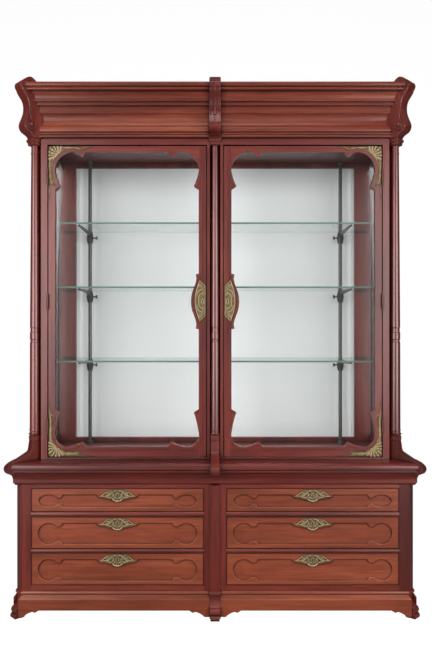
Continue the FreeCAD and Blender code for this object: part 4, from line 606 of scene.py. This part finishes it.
def islands(work):
    """The parts of a mesh that don't touch each other, as lists of vertices."""
    seen = set()
    found = []
    for start in work.verts:
        if start.index in seen:
            continue
        island, stack = [], [start]
        seen.add(start.index)
        while stack:
            vertex = stack.pop()
            island.append(vertex)
            for edge in vertex.link_edges:
                other = edge.other_vert(vertex)
                if other.index not in seen:
                    seen.add(other.index)
                    stack.append(other)
        found.append(island)
    return found


def rear_islands(node, name, plane, body, material):
    """A copy of a CAD node without the flat plates before a plane, for which the reliefs stand."""
    mesh = bpy.data.meshes.new(name)
    work = bmesh.new()
    work.from_mesh(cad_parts[node].data)
    bmesh.ops.remove_doubles(work, verts=work.verts, dist=WELD)
    work.verts.ensure_lookup_table()
    doomed = []
    for island in islands(work):
        if max(vertex.co.y for vertex in island) <= plane:
            doomed += island
    bmesh.ops.delete(work, geom=doomed, context="VERTS")
    work.to_mesh(mesh)
    work.free()
    piece = riding(name, mesh, material, body)
    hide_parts(node)


def reshaped(node, name, move, body, material):
    """A copy of a CAD node in which a rule moves the vertices; it replaces the node."""
    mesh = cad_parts[node].data.copy()
    mesh.name = name
    for vertex in mesh.vertices:
        vertex.co = move(vertex.co)
    mesh.materials.clear()
    piece = riding(name, mesh, material, body)
    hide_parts(node)


# The doors' lock lobes: how far their edge stands out beyond the stile, as a share of the frame's own lobe,
# at a distance from the door's middle.

LOBE_SHARES = ((0.0, 0.97), (0.025, 0.94), (0.052, 0.84), (0.075, 0.59), (0.093, 0.49), (0.104, 0.48),
               (0.118, 0.72), (0.128, 1.0))
LOBE_REACH = 0.050
INNER_STILE = 0.034


def lobe_rule(low, high, way):
    """Draws in a door's lock lobe; way tells the side on which the door hangs."""
    edge = low.x + INNER_STILE if way > 0 else high.x - INNER_STILE
    middle = (low.z + high.z) / 2
    distances, shares = zip(*LOBE_SHARES)

    def move(place):
        beyond = (place.x - edge) * way
        away = abs(place.z - middle)
        if not 0 < beyond < LOBE_REACH or away > distances[-1]:
            return place
        share = float(np.interp(away, distances, shares))
        return Vector((edge + way * beyond * share, place.y, place.z))

    return move


# Carving of the crown. On a corner board, a is the distance from the colonette's axis and b the height
# above the board's foot; on the middle board, a runs across and b upwards.

OUT = (0, -1, 0)
UP = (0, 0, 1)
DOWN = (0, 0, -1)
SIDES = (("right", 1), ("left", -1))
CORBEL_BOARD = 0.052
FIN_X = 0.835
FIN_SETBACK = 0.020
DIAGONAL = math.sqrt(1 / 2)
PROFILE_STEP = 0.002

CORNER_GRID = ((-10, 0), (92, 276))
CARVED_EDGE = ((18, 6), (29, 19), (52, 33), (61, 50), (53, 82), (42, 114), (40.5, 143), (47.5, 173),
               (64, 197), (75, 213), (81, 226))
CARVED_BEAD = (2.4, 3.2)
EYE = (31.7, 58.8)
CORNER_DESIGN = {
    "ribbons": ([(*place, *CARVED_BEAD) for place in CARVED_EDGE],),
    "leaves": (
        ((34, 86, 2.0, 3.4), (36, 104, 4.6, 4.2), (33, 128, 4.2, 4.0), (34, 150, 3.0, 3.4),
         (40, 176, 1.2, 2.0)),
        ((72, 236, 2.0, 3.0), (58, 245, 3.0, 3.8), (44, 254, 3.4, 4.0), (32, 267, 1.6, 2.4)),
        ((62, 222, 1.6, 2.6), (48, 232, 3.0, 3.6), (34, 240, 3.0, 3.6), (18, 246, 1.4, 2.0))),
    "spirals": ((*EYE, 24, 11, -1.3, -0.6, 2.8, 6.0),),
    "bosses": ((*EYE, 8.5, 8.5), (80, 227, 8.0, 5.0, 2.0)),
}

MIDDLE_REACH = 26
MIDDLE_MARGIN = 2
MIDDLE_HALF = 21.0
BAR_COUNT = 4
BAR_STEP = 9
BAR_DROP = 6
BAR_END = (2.2, 3.6)
BAR_CENTRE = (2.6, 4.2)
BEAD_LEVELS = (12, 25)
BEAD_PLACES = (-20, -10, 0, 10, 20)
BEAD_SIZE = (4.4, 4.6)
MIDDLE_SIDE = ((20, 190, 2.8, 4.2), (17, 160, 3.0, 4.4), (18, 130, 3.0, 4.4), (21, 100, 2.8, 4.0),
               (22, 74, 2.4, 3.4))
MIDDLE_SIDE_TOP = (MIDDLE_HALF, -44, 2.2, 3.4)  # down from the board's top
MIDDLE_LEAF = ((0, 190, 5.0, 5.0), (0, 160, 3.4, 4.4), (0, 130, 5.4, 5.2), (0, 96, 8.0, 6.0),
               (0, 70, 3.0, 4.0))
MIDDLE_LEAF_TOP = (0, -48, 2.0, 3.4)
MIDDLE_BOSS = (19, 59, 6.0, 5.6)


def middle_carving(high):
    """Carving for the middle board, whose height is given in millimetres."""
    relief = Relief((-MIDDLE_REACH, MIDDLE_MARGIN), (MIDDLE_REACH, high - MIDDLE_MARGIN))

    def from_top(point):
        return (point[0], high + point[1], *point[2:])

    bars = []
    for step in range(BAR_COUNT):
        level = high - BAR_DROP - BAR_STEP * step
        bars.append([(-MIDDLE_HALF, level, *BAR_END), (0, level, *BAR_CENTRE),
                     (MIDDLE_HALF, level, *BAR_END)])
    beads = [(place, level, *BEAD_SIZE) for level in BEAD_LEVELS for place in BEAD_PLACES]
    relief.carve({"ribbons": bars, "leaves": [[from_top(MIDDLE_LEAF_TOP), *MIDDLE_LEAF]], "bosses": beads})
    for way in (1, -1):
        relief.carve({"ribbons": [[from_top(MIDDLE_SIDE_TOP), *MIDDLE_SIDE]], "bosses": [MIDDLE_BOSS]}, way)
    return relief


def front_profile(node, half):
    """The foremost surface of a board in the middle of the cabinet, as heights and depths."""
    rows = sorted((v.co.z, v.co.y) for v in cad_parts[node].data.vertices if abs(v.co.x) < half)
    heights, depths = [], []
    for z, y in rows:
        if heights and z - heights[-1] < PROFILE_STEP:
            depths[-1] = min(depths[-1], y)
        else:
            heights.append(z)
            depths.append(y)
    return heights, depths


def carvings(carved_wood):
    low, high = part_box("crown_corbels")
    corner = Relief(*CORNER_GRID)
    corner.carve(CORNER_DESIGN)
    for name, way in SIDES:
        heading = Vector((way * DIAGONAL, -DIAGONAL, 0))
        out = Vector((-way * DIAGONAL, -DIAGONAL, 0))
        origin = Vector((way * FIN_X, front_plane + FIN_SETBACK, low.z)) + out * (CORBEL_BOARD / 2)
        place_relief(corner, "crown_carving_" + name, "case", carved_wood, origin,
                     heading, UP, out)
    middle = place_relief(middle_carving((high.z - low.z) / MM), "crown_carving_middle", "case", carved_wood,
                          (0, 0, low.z), (1, 0, 0), UP, OUT)
    profile = front_profile("crown_corbels", CORBEL_BOARD)
    for vertex in middle.data.vertices:
        vertex.co.y += float(np.interp(vertex.co.z, *profile))


# Brass mounts. In a corner mount, a runs in from the door's outer edge and b from its top or bottom edge.
# A ring is the middle and the outer radius of the sight ring's round corner.

RING_CLEAR = 1.2
RING_BEAD = (1.7, 3.4)
RING_STEPS = 24
EDGE_CLEAR = 1.4
GROUND_HIGH = 2.0
MOUNT_START = (-1, -1)

TOP_SIZE_MM = (216, 256)
TOP_RING = (114.0, 111.5, 98.0)
TOP_BEAD_ARC = (138, 282)
TOP_RAIL = (147, 26, 0.3)  # its length, its width and its slant
TOP_STILE = (31, 0.10, 160, 176, 0.2)  # its width, its taper from a level, its length and its slant
TOP_CORNER = 110
SCALLOP = (1.2, 4.4)
SCALLOP_REACH = (70, 120)
TOP_DESIGN = {
    "ribbons": (
        ((118, 6, 2, 2.6), (128, 11, 7, 3.8), (142, 14, 5, 3.4), (148, 17, 1.5, 2.4)),
        ((146, 18, 1.6, 2.6), (156, 19, 1.8, 2.6), (168, 14, 1.6, 2.2), (182, 8, 0.8, 1.4)),
        ((4.5, 232, 1.0, 1.8), (4.6, 246, 1.0, 1.8))),
    "leaves": (
        ((66, 8, 3, 3.6), (86, 7, 4.4, 3.8), (104, 7.5, 4.2, 3.6), (120, 9, 3, 3.2)),
        ((146, 16, 2.4, 3.2), (158, 12, 3.4, 3.6), (172, 7, 3.4, 3.4), (190, 3.5, 2.2, 2.6),
         (209, 2.4, 0.8, 1.4)),
        ((8, 62, 5, 3.2), (8, 80, 4.6, 3.4), (7.5, 100, 4.2, 3.4), (7.5, 122, 4.2, 3.4), (9, 145, 5.5, 3.6),
         (13, 164, 5.5, 3.6), (22, 176, 3, 2.8), (29, 179, 1.4, 2)),
        ((8, 172, 2.4, 2.8), (6, 184, 1.4, 2.2), (5, 192, 1.8, 2.6), (5.5, 206, 3.6, 3.8), (5, 220, 2.6, 3.2),
         (4.5, 234, 1.2, 2))),
    "spirals": ((30, 57, 9, 2, 1.4, 0.4, 2.6, 4.2), (60, 27, 9, 2, -1.4, 1.2, 2.6, 4.2)),
    "fans": ((49, 45, 228, 56, 120, 7, 5.6, 4.4),),
    "bosses": ((4.5, 80, 4.6, 4.0), (4.5, 94, 4.6, 4.0), (4.5, 108, 4.6, 4.0), (7.0, 136, 4.2, 4.4, 1.4),
               (4.6, 246, 3.0, 3.6)),
}
TOP_DOTS = ((13, 12), (27, 10), (38, 14), (10, 28), (23, 26), (33, 30), (11, 44), (22, 42), (118, 12),
            (129, 9), (135, 16), (8, 158), (14, 150))
TOP_PUNCH = (3.2, 3.6)

BOTTOM_SIZE_MM = (218, 262)
BOTTOM_RING = (88.0, 103.5, 72.0)
BOTTOM_BEAD_ARC = (150, 262)
BOTTOM_RAIL = (140, 25)
BOTTOM_STILE = (17, 168)
BOTTOM_CORNER = 96
TWIST_COUNT = 5
TWIST_STEP = 5.5
TWIST_FROM = (13, 158)
TWIST_TO = (22, 164)
TWIST_SIZE = (1.2, 2.8)
BOTTOM_DESIGN = {
    "ribbons": [((TWIST_FROM[0], TWIST_FROM[1] + TWIST_STEP * step, *TWIST_SIZE),
                 (TWIST_TO[0] - step, TWIST_TO[1] + TWIST_STEP * step, *TWIST_SIZE))
                for step in range(TWIST_COUNT)],
    "leaves": (
        ((5, 257, 0.8, 1.4), (5, 236, 2, 2.6), (6, 214, 3.4, 3.4), (8, 190, 4.6, 3.8), (10, 165, 6, 3.8),
         (10, 140, 6.4, 3.6), (9, 120, 7.4, 4.0), (9, 100, 7.6, 4.0), (10, 80, 6, 3.6), (11, 60, 5.4, 3.4)),
        ((8, 202, 2, 2.8), (15, 194, 3.4, 3.6), (25, 187, 3.6, 3.6), (33, 181, 1.6, 2.2)),
        ((54, 12, 4, 3.4), (74, 15, 7.0, 3.8), (92, 14, 7.4, 3.8), (110, 14, 7.6, 3.6), (128, 15, 6, 3.4),
         (140, 19, 3.8, 3.0), (150, 27, 1.4, 2)),
        ((128, 11, 4.6, 3.2), (150, 7.5, 3, 2.8), (180, 4.5, 1.8, 2.2), (211, 3, 0.8, 1.4))),
    "spirals": ((17, 66, 8, 2, -1.3, 2.0, 2.6, 4.0), (62, 17, 8.5, 2, 1.3, 0.5, 2.6, 4.0),
                (96, 16, 7, 1.8, 1.2, 2.6, 2.0, 4.2)),
    "fans": ((42, 46, 222, 52, 150, 8, 5.0, 4.4),),
}
BOTTOM_DOTS = ((20, 16), (34, 12), (12, 34), (24, 30), (12, 48), (76, 10), (84, 21), (110, 19), (118, 9),
               (9, 112), (9, 92))
BOTTOM_PUNCH = (2.8, 3.2)


def top_ground(a, b):
    length, width, slant = TOP_RAIL
    rail = (b < width) & (a < length - slant * b)
    width, taper, level, length, slant = TOP_STILE
    stile = (a < width - taper * np.abs(b - level)) & (b < length + slant * a)
    deep, pitch = SCALLOP
    low, high = SCALLOP_REACH
    scallop = np.maximum(deep * np.cos(b / pitch), 0) * (b > low) * (b < high)
    return (rail | stile | (a + b < TOP_CORNER)) & (a > EDGE_CLEAR + scallop)


def bottom_ground(a, b):
    rail = (a < BOTTOM_RAIL[0]) & (b < BOTTOM_RAIL[1])
    stile = (a < BOTTOM_STILE[0]) & (b < BOTTOM_STILE[1])
    return rail | stile | (a + b < BOTTOM_CORNER)


def corner_mount(size, ring, arc, ground, design, places, punch):
    """A corner mount: its ground, a bead along the sight ring between two angles, its design and dots."""
    relief = Relief(MOUNT_START, size)
    a, b = relief.grid_a, relief.grid_b
    over_ring = relief.away(ring[0], ring[1]) < ring[2] + RING_CLEAR
    relief.ground(ground(a, b) & ~over_ring & (a > EDGE_CLEAR) & (b > EDGE_CLEAR), GROUND_HIGH)
    radius = ring[2] + RING_CLEAR + RING_BEAD[0]
    bead = []
    for step in range(RING_STEPS + 1):
        angle = math.radians(arc[0] + (arc[1] - arc[0]) * step / RING_STEPS)
        bead.append((ring[0] + radius * math.cos(angle), ring[1] + radius * math.sin(angle), *RING_BEAD))
    relief.chain(bead)
    relief.carve(design)
    relief.punch(places, *punch)
    relief.clear(over_ring)
    relief.clear((a < EDGE_CLEAR / 2) | (b < EDGE_CLEAR / 2))
    return relief


# The lock plate lies over the door's sight ring. Here a runs in from the door's inner edge and b up from
# the plate's middle. On a drawer's plate, a runs across from its middle and b down from its top edge.

HOLE_RADIUS = 3.6
HOLE_SLOT = 2.2
HOLE_DROP = 11.0

LOCK_GRID = ((0, -122), (60, 122))
LOCK_HOLE_A = 15.75
LOCK_FROM_EDGE = 2.0
LOCK_GROUND = 2.6
PLATE_RIM = ((0, 52), (25, 50.5), (52, 44), (75, 35.5), (88, 32), (97, 30))  # (b, a) of its outer edge
PLATE_SHOULDER = 68
PLATE_TIP = 97
PLATE_TURN = 27
LOCK_DESIGN = {
    "ribbons": (
        ((30.5, 98, 1.2, 2.8), (32, 88, 2.2, 4.4), (35, 76, 2.8, 5.0), (42, 56, 2.6, 5.0),
         (47.5, 34, 2.4, 5.0), (50, 14, 2.4, 5.0), (50.5, 0, 2.4, 5.0)),
        ((29, 94, 1.6, 3.6), (20, 84, 2.2, 4.6), (9, 73, 2.2, 4.6), (4.5, 64, 2.0, 4.4), (4.5, 34, 1.8, 4.4),
         (4.5, 0, 1.8, 4.4))),
    "leaves": (
        ((13, 62, 1.6, 4.0), (20, 52, 3.2, 4.8), (32, 46, 3.4, 5.0), (40, 34, 3.0, 4.8), (42, 20, 2.0, 4.2)),
        ((10, 48, 1.4, 4.0), (16, 38, 2.6, 4.6), (27, 30, 2.8, 4.8), (33, 18, 2.8, 4.8), (34, 0, 2.8, 4.8))),
    "spirals": ((26, 67, 8.0, 1.8, 1.4, 0.4, 2.4, 5.0), (12, 30, 5.0, 1.4, -1.2, 2.0, 1.8, 4.6)),
}
LOCK_DOME = (LOCK_HOLE_A, -3, 9.5, 18, 4.8)
LOCK_DOTS = ((9, 18), (9, -20), (27, 40), (27, -40), (39, 8), (39, -8), (16, 74), (16, -74))
LOCK_PUNCH = (2.6, 3.6)

DRAWER_GRID = ((-92, -2), (92, 60))
DRAWER_TOP = ((0, 1), (34, 2), (44, 6), (58, 17), (74, 27), (88, 32))  # (a, b) of its upper and lower edge
DRAWER_LOW = ((0, 56), (14, 52), (34, 44), (60, 37), (76, 35), (88, 33.5))
DRAWER_GROUND = 2.3
CURL_TURN = 1.1
CURL_START = math.pi / 2 - CURL_TURN
DRAWER_DESIGN = {
    "ribbons": (
        ((88, 32.5, 0.8, 2.2), (72, 26.5, 2.0, 4.2), (60, 19, 2.4, 4.6), (50, 12, 2.2, 4.4),
         (43, 6, 1.6, 3.8)),
        ((33, 24, 1.6, 4.2), (26, 14, 2.4, 4.6), (15, 7, 2.4, 4.6), (3, 4, 1.6, 3.8)),
        ((36, 4, 1.4, 3.6), (30, 8, 1.8, 4.0))),
    "leaves": (
        ((2, 54, 1.8, 4.0), (16, 47, 2.4, 4.6), (30, 38, 2.4, 4.8), (44, 35, 2.2, 4.6), (56, 29, 2.6, 4.6),
         (70, 31, 2.6, 4.4), (88, 33, 0.8, 2.4)),
        ((24, 34, 1.4, 4.0), (18, 25, 2.4, 4.6), (20, 16, 1.4, 4.0)),
        ((3, 42, 1.4, 4.0), (12, 37, 2.4, 4.6), (16, 30, 1.2, 3.8))),
    "spirals": ((42, 21, 8.4, 2.0, 1.5, CURL_START, 2.1, 4.8),),
}
DRAWER_DOME = (0, 26, 8.5, 13.5, 4.4)
DRAWER_LIP = ((-20, 47, 1.4, 5.0), (-10, 51, 2.6, 7.0), (0, 52.5, 3.0, 8.4), (10, 51, 2.6, 7.0),
              (20, 47, 1.4, 5.0))
DRAWER_DOTS = ((-19, 10), (14, 15), (-14, 16), (29, 28), (-30, 28), (-52, 22), (52, 22), (-9, 45), (9, 45),
               (-26, 42), (26, 42), (-60, 26), (60, 26))
DRAWER_PUNCH = (3.4, 4.6)
DRAWER_HOLE_B = 22.5


def keyhole(relief, a, b, way):
    """Where the keyhole is; its slot runs from (a, b) up or down."""
    along = (relief.grid_b - b) * way
    slot = (np.abs(relief.grid_a - a) < HOLE_SLOT) & (along > 0) & (along < HOLE_DROP)
    return (relief.away(a, b) < HOLE_RADIUS) | slot


def lock_plate():
    relief = Relief(*LOCK_GRID)
    a, high = relief.grid_a, np.abs(relief.grid_b)
    outer = np.interp(high, *zip(*PLATE_RIM))
    turn = np.clip((high - PLATE_SHOULDER) / (PLATE_TIP - PLATE_SHOULDER), 0, 1)
    relief.ground((a > LOCK_FROM_EDGE + PLATE_TURN * turn) & (a < outer) & (high < PLATE_TIP), LOCK_GROUND)
    for way in (1, -1):
        relief.carve(LOCK_DESIGN, way_b=way)
    relief.dome(*LOCK_DOME)
    relief.punch(LOCK_DOTS, *LOCK_PUNCH)
    relief.clear(keyhole(relief, LOCK_HOLE_A, 0, -1) | (a < LOCK_FROM_EDGE))
    return relief


def drawer_plate():
    relief = Relief(*DRAWER_GRID)
    wide, b = np.abs(relief.grid_a), relief.grid_b
    relief.ground((b > np.interp(wide, *zip(*DRAWER_TOP))) & (b < np.interp(wide, *zip(*DRAWER_LOW))),
                  DRAWER_GROUND)
    for way in (1, -1):
        relief.carve(DRAWER_DESIGN, way_a=way)
    relief.dome(*DRAWER_DOME)
    relief.stroke(DRAWER_LIP)
    relief.punch(DRAWER_DOTS, *DRAWER_PUNCH)
    relief.clear(keyhole(relief, 0, DRAWER_HOLE_B, 1))
    return relief


# Materials of the CAD nodes

DOOR_RAIL_ZONE = ("X", 0.0754, 0.737)
FRAME_RAIL_ZONE = ("X", 0.050, 0.8335)
# a painted highlight on the rails between the drawers
RAIL_HIGHLIGHT = (1.35, 1.9, 1.7)
FOOT_ZONE = ("Z", -0.01, 0.118)
FOOT_TONE = (1.35, 1.9, 1.8)
HEAD_ZONE = ("Z", 2.14, 2.30)


def dress(names, material):
    for name in names:
        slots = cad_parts[name].data.materials
        slots.clear()
        slots.append(material)


def dress_wood():
    carvings(wood("mahogany_carving", MAHOGANY, UPRIGHT))
    doors = wood("mahogany_doors", MAHOGANY, UPRIGHT, DOOR_RAIL_ZONE)
    dress(["door_left_frame", "door_right_frame"], doors)
    for side, way in SIDES:
        door = "door_" + side
        rule = lobe_rule(*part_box(door + "_frame"), way)
        reshaped(door + "_frame", door + "_shaped_frame", rule, door, doors)
    dress(["base_sides", "upper_side_frames", "upper_back_frame"],
          wood("mahogany_upright", MAHOGANY, UPRIGHT))
    dress(["colonettes"], wood("mahogany_colonettes", MAHOGANY, UPRIGHT, roughness=0.28, polish=0.9))
    dress(["crown_corbels", "ledge_scrolls", "lower_pilasters"],
          wood("mahogany_pilasters", SHADED, UPRIGHT, FOOT_ZONE, zone_tone=FOOT_TONE))
    dress(["cornice"], wood("mahogany_cornice", CORNICE, LEVEL, coat=0.1, polish=0.35))
    dress(["ledge"], wood("mahogany_ledge", SHADED, LENGTHWISE))
    # the rails between the drawers carry a painted highlight
    dress(["base_face_frame"],
          wood("mahogany_face_frame", SHADED, UPRIGHT, FRAME_RAIL_ZONE, zone_tone=RAIL_HIGHLIGHT))
    dress(["upper_posts"], wood("mahogany_posts", MAHOGANY, UPRIGHT, HEAD_ZONE))
    dress(["plinth"], wood("mahogany_apron", FRONTS, LEVEL))
    dress(["upper_floor_board", "crown_boards"], wood("mahogany_boards", MAHOGANY, LENGTHWISE, coat=0.1))
    fronts = wood("mahogany_drawers", FRONTS, LEVEL, edge=DRAWER_EDGE, edge_highlight=DRAWER_EDGE_HIGHLIGHT,
                  tilt_light_span=DRAWER_TILT_LIGHT_SPAN, rim=DRAWER_RIM_SHADE, crease_shade_deep=DRAWER_CREASE_SHADE)
    plain = wood("inner_wood_level", INNER, LEVEL, roughness=0.6, coat=0.0)
    dress(["base_partition", "base_back_panel", "base_bottom_board", "drawer_runners"], plain)
    return fronts, plain


def dress_nodes():
    fronts, plain = dress_wood()
    steel = dark_metal("lock_steel", BOLT_STEEL, metallic=1.0)
    shelf_pane = shelf_glass()
    arms = dark_metal("bracket_metal", BRACKET_METAL, metallic=0.3)
    dress(["shelf_uprights"], dark_metal("upright_metal", UPRIGHT_METAL, metallic=0.5))
    dress(["upper_back_panel"], painted_panel())
    dress(["upper_side_glass", "door_left_glass", "door_right_glass"], pane_glass())
    dress(["door_left_bolt", "door_right_bolt"], steel)
    for level in ("low", "middle", "high"):
        dress(["shelf_" + level + "_glass"], shelf_pane)
        dress(["shelf_" + level + "_brackets"], arms)
    for side in ("left", "right"):
        for level in ("top", "middle", "bottom"):
            drawer = "drawer_" + side + "_" + level
            dress([drawer + "_front"], fronts)
            dress([drawer + "_box"], plain)
            dress([drawer + "_bolt"], steel)


# The brass on doors and drawers

DOOR_FACE = 0.0025  # the doors' faces behind the sight ring
MOUNT_DEPTH = 0.0046
LOCK_DEPTH = 0.0050
LOCK_SINK = 2.8
LOCK_RISE = 0.003
PLATE_DROP = 0.0035
LEAF_TEST = 0.006


def fittings():
    face = front_plane + DOOR_FACE
    door_metal = brass("brass_door_mounts", face, MOUNT_DEPTH)
    lock_metal = brass("brass_lock_plates", front_plane, LOCK_DEPTH)
    drawer_metal = brass("brass_drawer_plates", drawer_plane, MOUNT_DEPTH)
    leaf_metal = dark_metal("hinge_bronze", HINGE_BRONZE, metallic=0.5)
    steel = dark_metal("drawer_lock_steel", LOCK_STEEL)
    dress(["hinge_leaves"], leaf_metal)
    top = corner_mount(TOP_SIZE_MM, TOP_RING, TOP_BEAD_ARC, top_ground, TOP_DESIGN, TOP_DOTS, TOP_PUNCH)
    bottom = corner_mount(BOTTOM_SIZE_MM, BOTTOM_RING, BOTTOM_BEAD_ARC, bottom_ground, BOTTOM_DESIGN,
                          BOTTOM_DOTS, BOTTOM_PUNCH)
    plate, pull = lock_plate(), drawer_plate()
    for side, way in SIDES:
        door = "door_" + side
        low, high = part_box(door + "_frame")
        outer, inner = (high.x, low.x) if way > 0 else (low.x, high.x)
        middle = (low.z + high.z) / 2 + LOCK_RISE
        place_relief(top, door + "_top_mount", door, door_metal,
                     (outer, face, high.z), (-way, 0, 0), DOWN, OUT)
        place_relief(bottom, door + "_bottom_mount", door, door_metal,
                     (outer, face, low.z), (-way, 0, 0), UP, OUT)
        place_relief(plate, door + "_lock_plate", door, lock_metal,
                     (inner, front_plane, middle), (way, 0, 0), UP, OUT, LOCK_SINK)
        rear_islands(door + "_brass", door + "_hinge_leaves", front_plane + LEAF_TEST, door, leaf_metal)
        for level in ("top", "middle", "bottom"):
            drawer = "drawer_" + side + "_" + level
            low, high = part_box(drawer + "_front")
            place_relief(pull, drawer + "_plate", drawer, drawer_metal,
                         ((low.x + high.x) / 2, drawer_plane, high.z - PLATE_DROP), (1, 0, 0), DOWN, OUT)
            rear_islands(drawer + "_lock", drawer + "_lock_case", drawer_plane + LEAF_TEST, drawer, steel)


# Studio

FLOOR_HALF = 14.0
FLOOR_FRONT = -6.0
WALL_Y = 8.0
WALL_TOP = 10.0
WALL_CURVE = 2.5
CURVE_STEPS = 16
FLOOR_TONE = (0.12, 0.12, 0.12)
FLOOR_GLOW = 0.985
MIRRORED_GLOW = 0.10
SHADE_LOW = 4.0
SHADE_HIGH = 7.0
WALL_TONES = ((0.0, WHITE), (1.0, (0.975, 0.975, 0.975)))


def studio():
    """A pale floor that curves up into a backdrop."""
    points = [(FLOOR_FRONT, 0)]
    for step in range(CURVE_STEPS + 1):
        angle = math.pi / 2 * step / CURVE_STEPS
        back = WALL_CURVE * (math.sin(angle) - 1)
        points.append((WALL_Y + back, WALL_CURVE * (1 - math.cos(angle))))
    points.append((WALL_Y, WALL_TOP))
    vertices, faces = [], []
    for y, z in points:
        vertices += [(-FLOOR_HALF, y, z), (FLOOR_HALF, y, z)]
    for step in range(len(points) - 1):
        first = 2 * step
        faces.append((first, first + 1, first + 3, first + 2))
    material, shading = new_material("studio_white")
    height = shading.axis(shading.geometry("Position"), "Z")
    shade = shading.ramp(shading.span(height, SHADE_LOW, SHADE_HIGH), WALL_TONES)
    seen = shading.maths("MULTIPLY", shading.ray("Is Camera Ray"), FLOOR_GLOW)
    mirrored = shading.maths("MAXIMUM", shading.ray("Is Glossy Ray"), shading.ray("Is Transmission Ray"))
    strength = shading.maths("ADD", seen, shading.maths("MULTIPLY", mirrored, MIRRORED_GLOW))
    diffuse = shading.add("BsdfDiffuse", {"Color": FLOOR_TONE})
    glow = shading.add("Emission", {"Color": shade, "Strength": strength})
    shading.finish(shading.add("AddShader", {0: diffuse.outputs[0], 1: glow.outputs[0]}).outputs[0])
    mesh = smooth_mesh("studio_floor", vertices, faces)
    mesh.materials.append(material)
    linked("studio_floor", mesh)


KEY_PLACE = (-2.6, -3.2, 3.9)
KEY_SIZE = (1.8, 1.8)
KEY_POWER = 14.0
FRONT_PLACE = (0.2, -4.8, 2.6)
FRONT_SIZE = (2.4, 2.0)
FRONT_POWER = 55.0
BOX_X = 2.54
BOX_Y = -3.3
BOX_Z = 1.65
BOX_SIZE = (2.2, 2.6)
BOX_POWER = 100.0
TOP_PLACE = (0.0, -1.8, 4.8)
TOP_SIZE = (2.4, 0.8)
TOP_POWER = 24.0
AIM = (0.0, -0.1, 1.2)
WORLD_LOW = 0.05  # the room's light from the sides and below, and from above
WORLD_HIGH = 0.25
SKY = 1.25  # what the camera sees past the backdrop
ROOM_WALL = 0.5  # the bright wall behind the camera, seen in mirrors only
ROOM_BAND = ((0.40, BLACK), (0.46, WHITE), (0.58, WHITE), (0.63, BLACK))
ROOM_AHEAD = (-0.4, -0.8)


def area_light(name, place, size, power, mirrored=True):
    data = bpy.data.lights.new(name, "AREA")
    data.shape = "RECTANGLE"
    data.size, data.size_y = size
    data.energy = power
    light = linked(name, data)
    light.location = place
    light.rotation_mode = "QUATERNION"
    light.rotation_quaternion = (Vector(AIM) - Vector(place)).to_track_quat("-Z", "Y")
    light.visible_glossy = mirrored


def lights():
    area_light("key", KEY_PLACE, KEY_SIZE, KEY_POWER)
    area_light("front", FRONT_PLACE, FRONT_SIZE, FRONT_POWER, mirrored=False)
    for name, x in (("box_left", -BOX_X), ("box_right", BOX_X)):
        area_light(name, (x, BOX_Y, BOX_Z), BOX_SIZE, BOX_POWER)
    area_light("top", TOP_PLACE, TOP_SIZE, TOP_POWER)


def room():
    """The world: dim light that grows upwards, white for the camera, and a wall seen in mirrors."""
    world = bpy.data.worlds.new("studio_world")
    bpy.context.scene.world = world
    world.use_nodes = True
    shading = Shading(world.node_tree)
    heading = shading.add("TexCoord").outputs["Generated"]
    height = shading.axis(heading, "Z")
    glow = shading.span(height, to_low=WORLD_LOW, to_high=WORLD_HIGH)
    glow = shading.maths("MAXIMUM", glow, shading.maths("MULTIPLY", shading.ray("Is Camera Ray"), SKY))
    band = shading.ramp(shading.maths("MULTIPLY_ADD", height, 1 / 2, 1 / 2), ROOM_BAND)
    ahead = shading.span(shading.axis(heading, "Y"), *ROOM_AHEAD)
    wall = shading.maths("MULTIPLY", band, ahead)
    wall = shading.maths("MULTIPLY", wall, shading.ray("Is Glossy Ray"))
    wall = shading.maths("MULTIPLY", wall, ROOM_WALL)
    background = shading.add("Background", {"Strength": shading.maths("ADD", glow, wall)})
    shading.finish(background.outputs[0], "OutputWorld")


def camera():
    data = bpy.data.cameras.new("photo_camera")
    data.sensor_fit = "VERTICAL"
    data.sensor_height = SENSOR_MM
    data.sensor_width = SENSOR_MM
    data.lens = FOCAL_MM
    data.clip_end = FAR_CLIP
    eye = linked("photo_camera", data)
    eye.location = (CAMERA_X, front_plane - CAMERA_DISTANCE, CAMERA_HEIGHT)
    eye.rotation_euler = (math.pi / 2, 0, 0)
    bpy.context.scene.camera = eye


dress_nodes()
fittings()
studio()
lights()
room()
camera()
bpy.context.scene.view_settings.view_transform = "Standard"
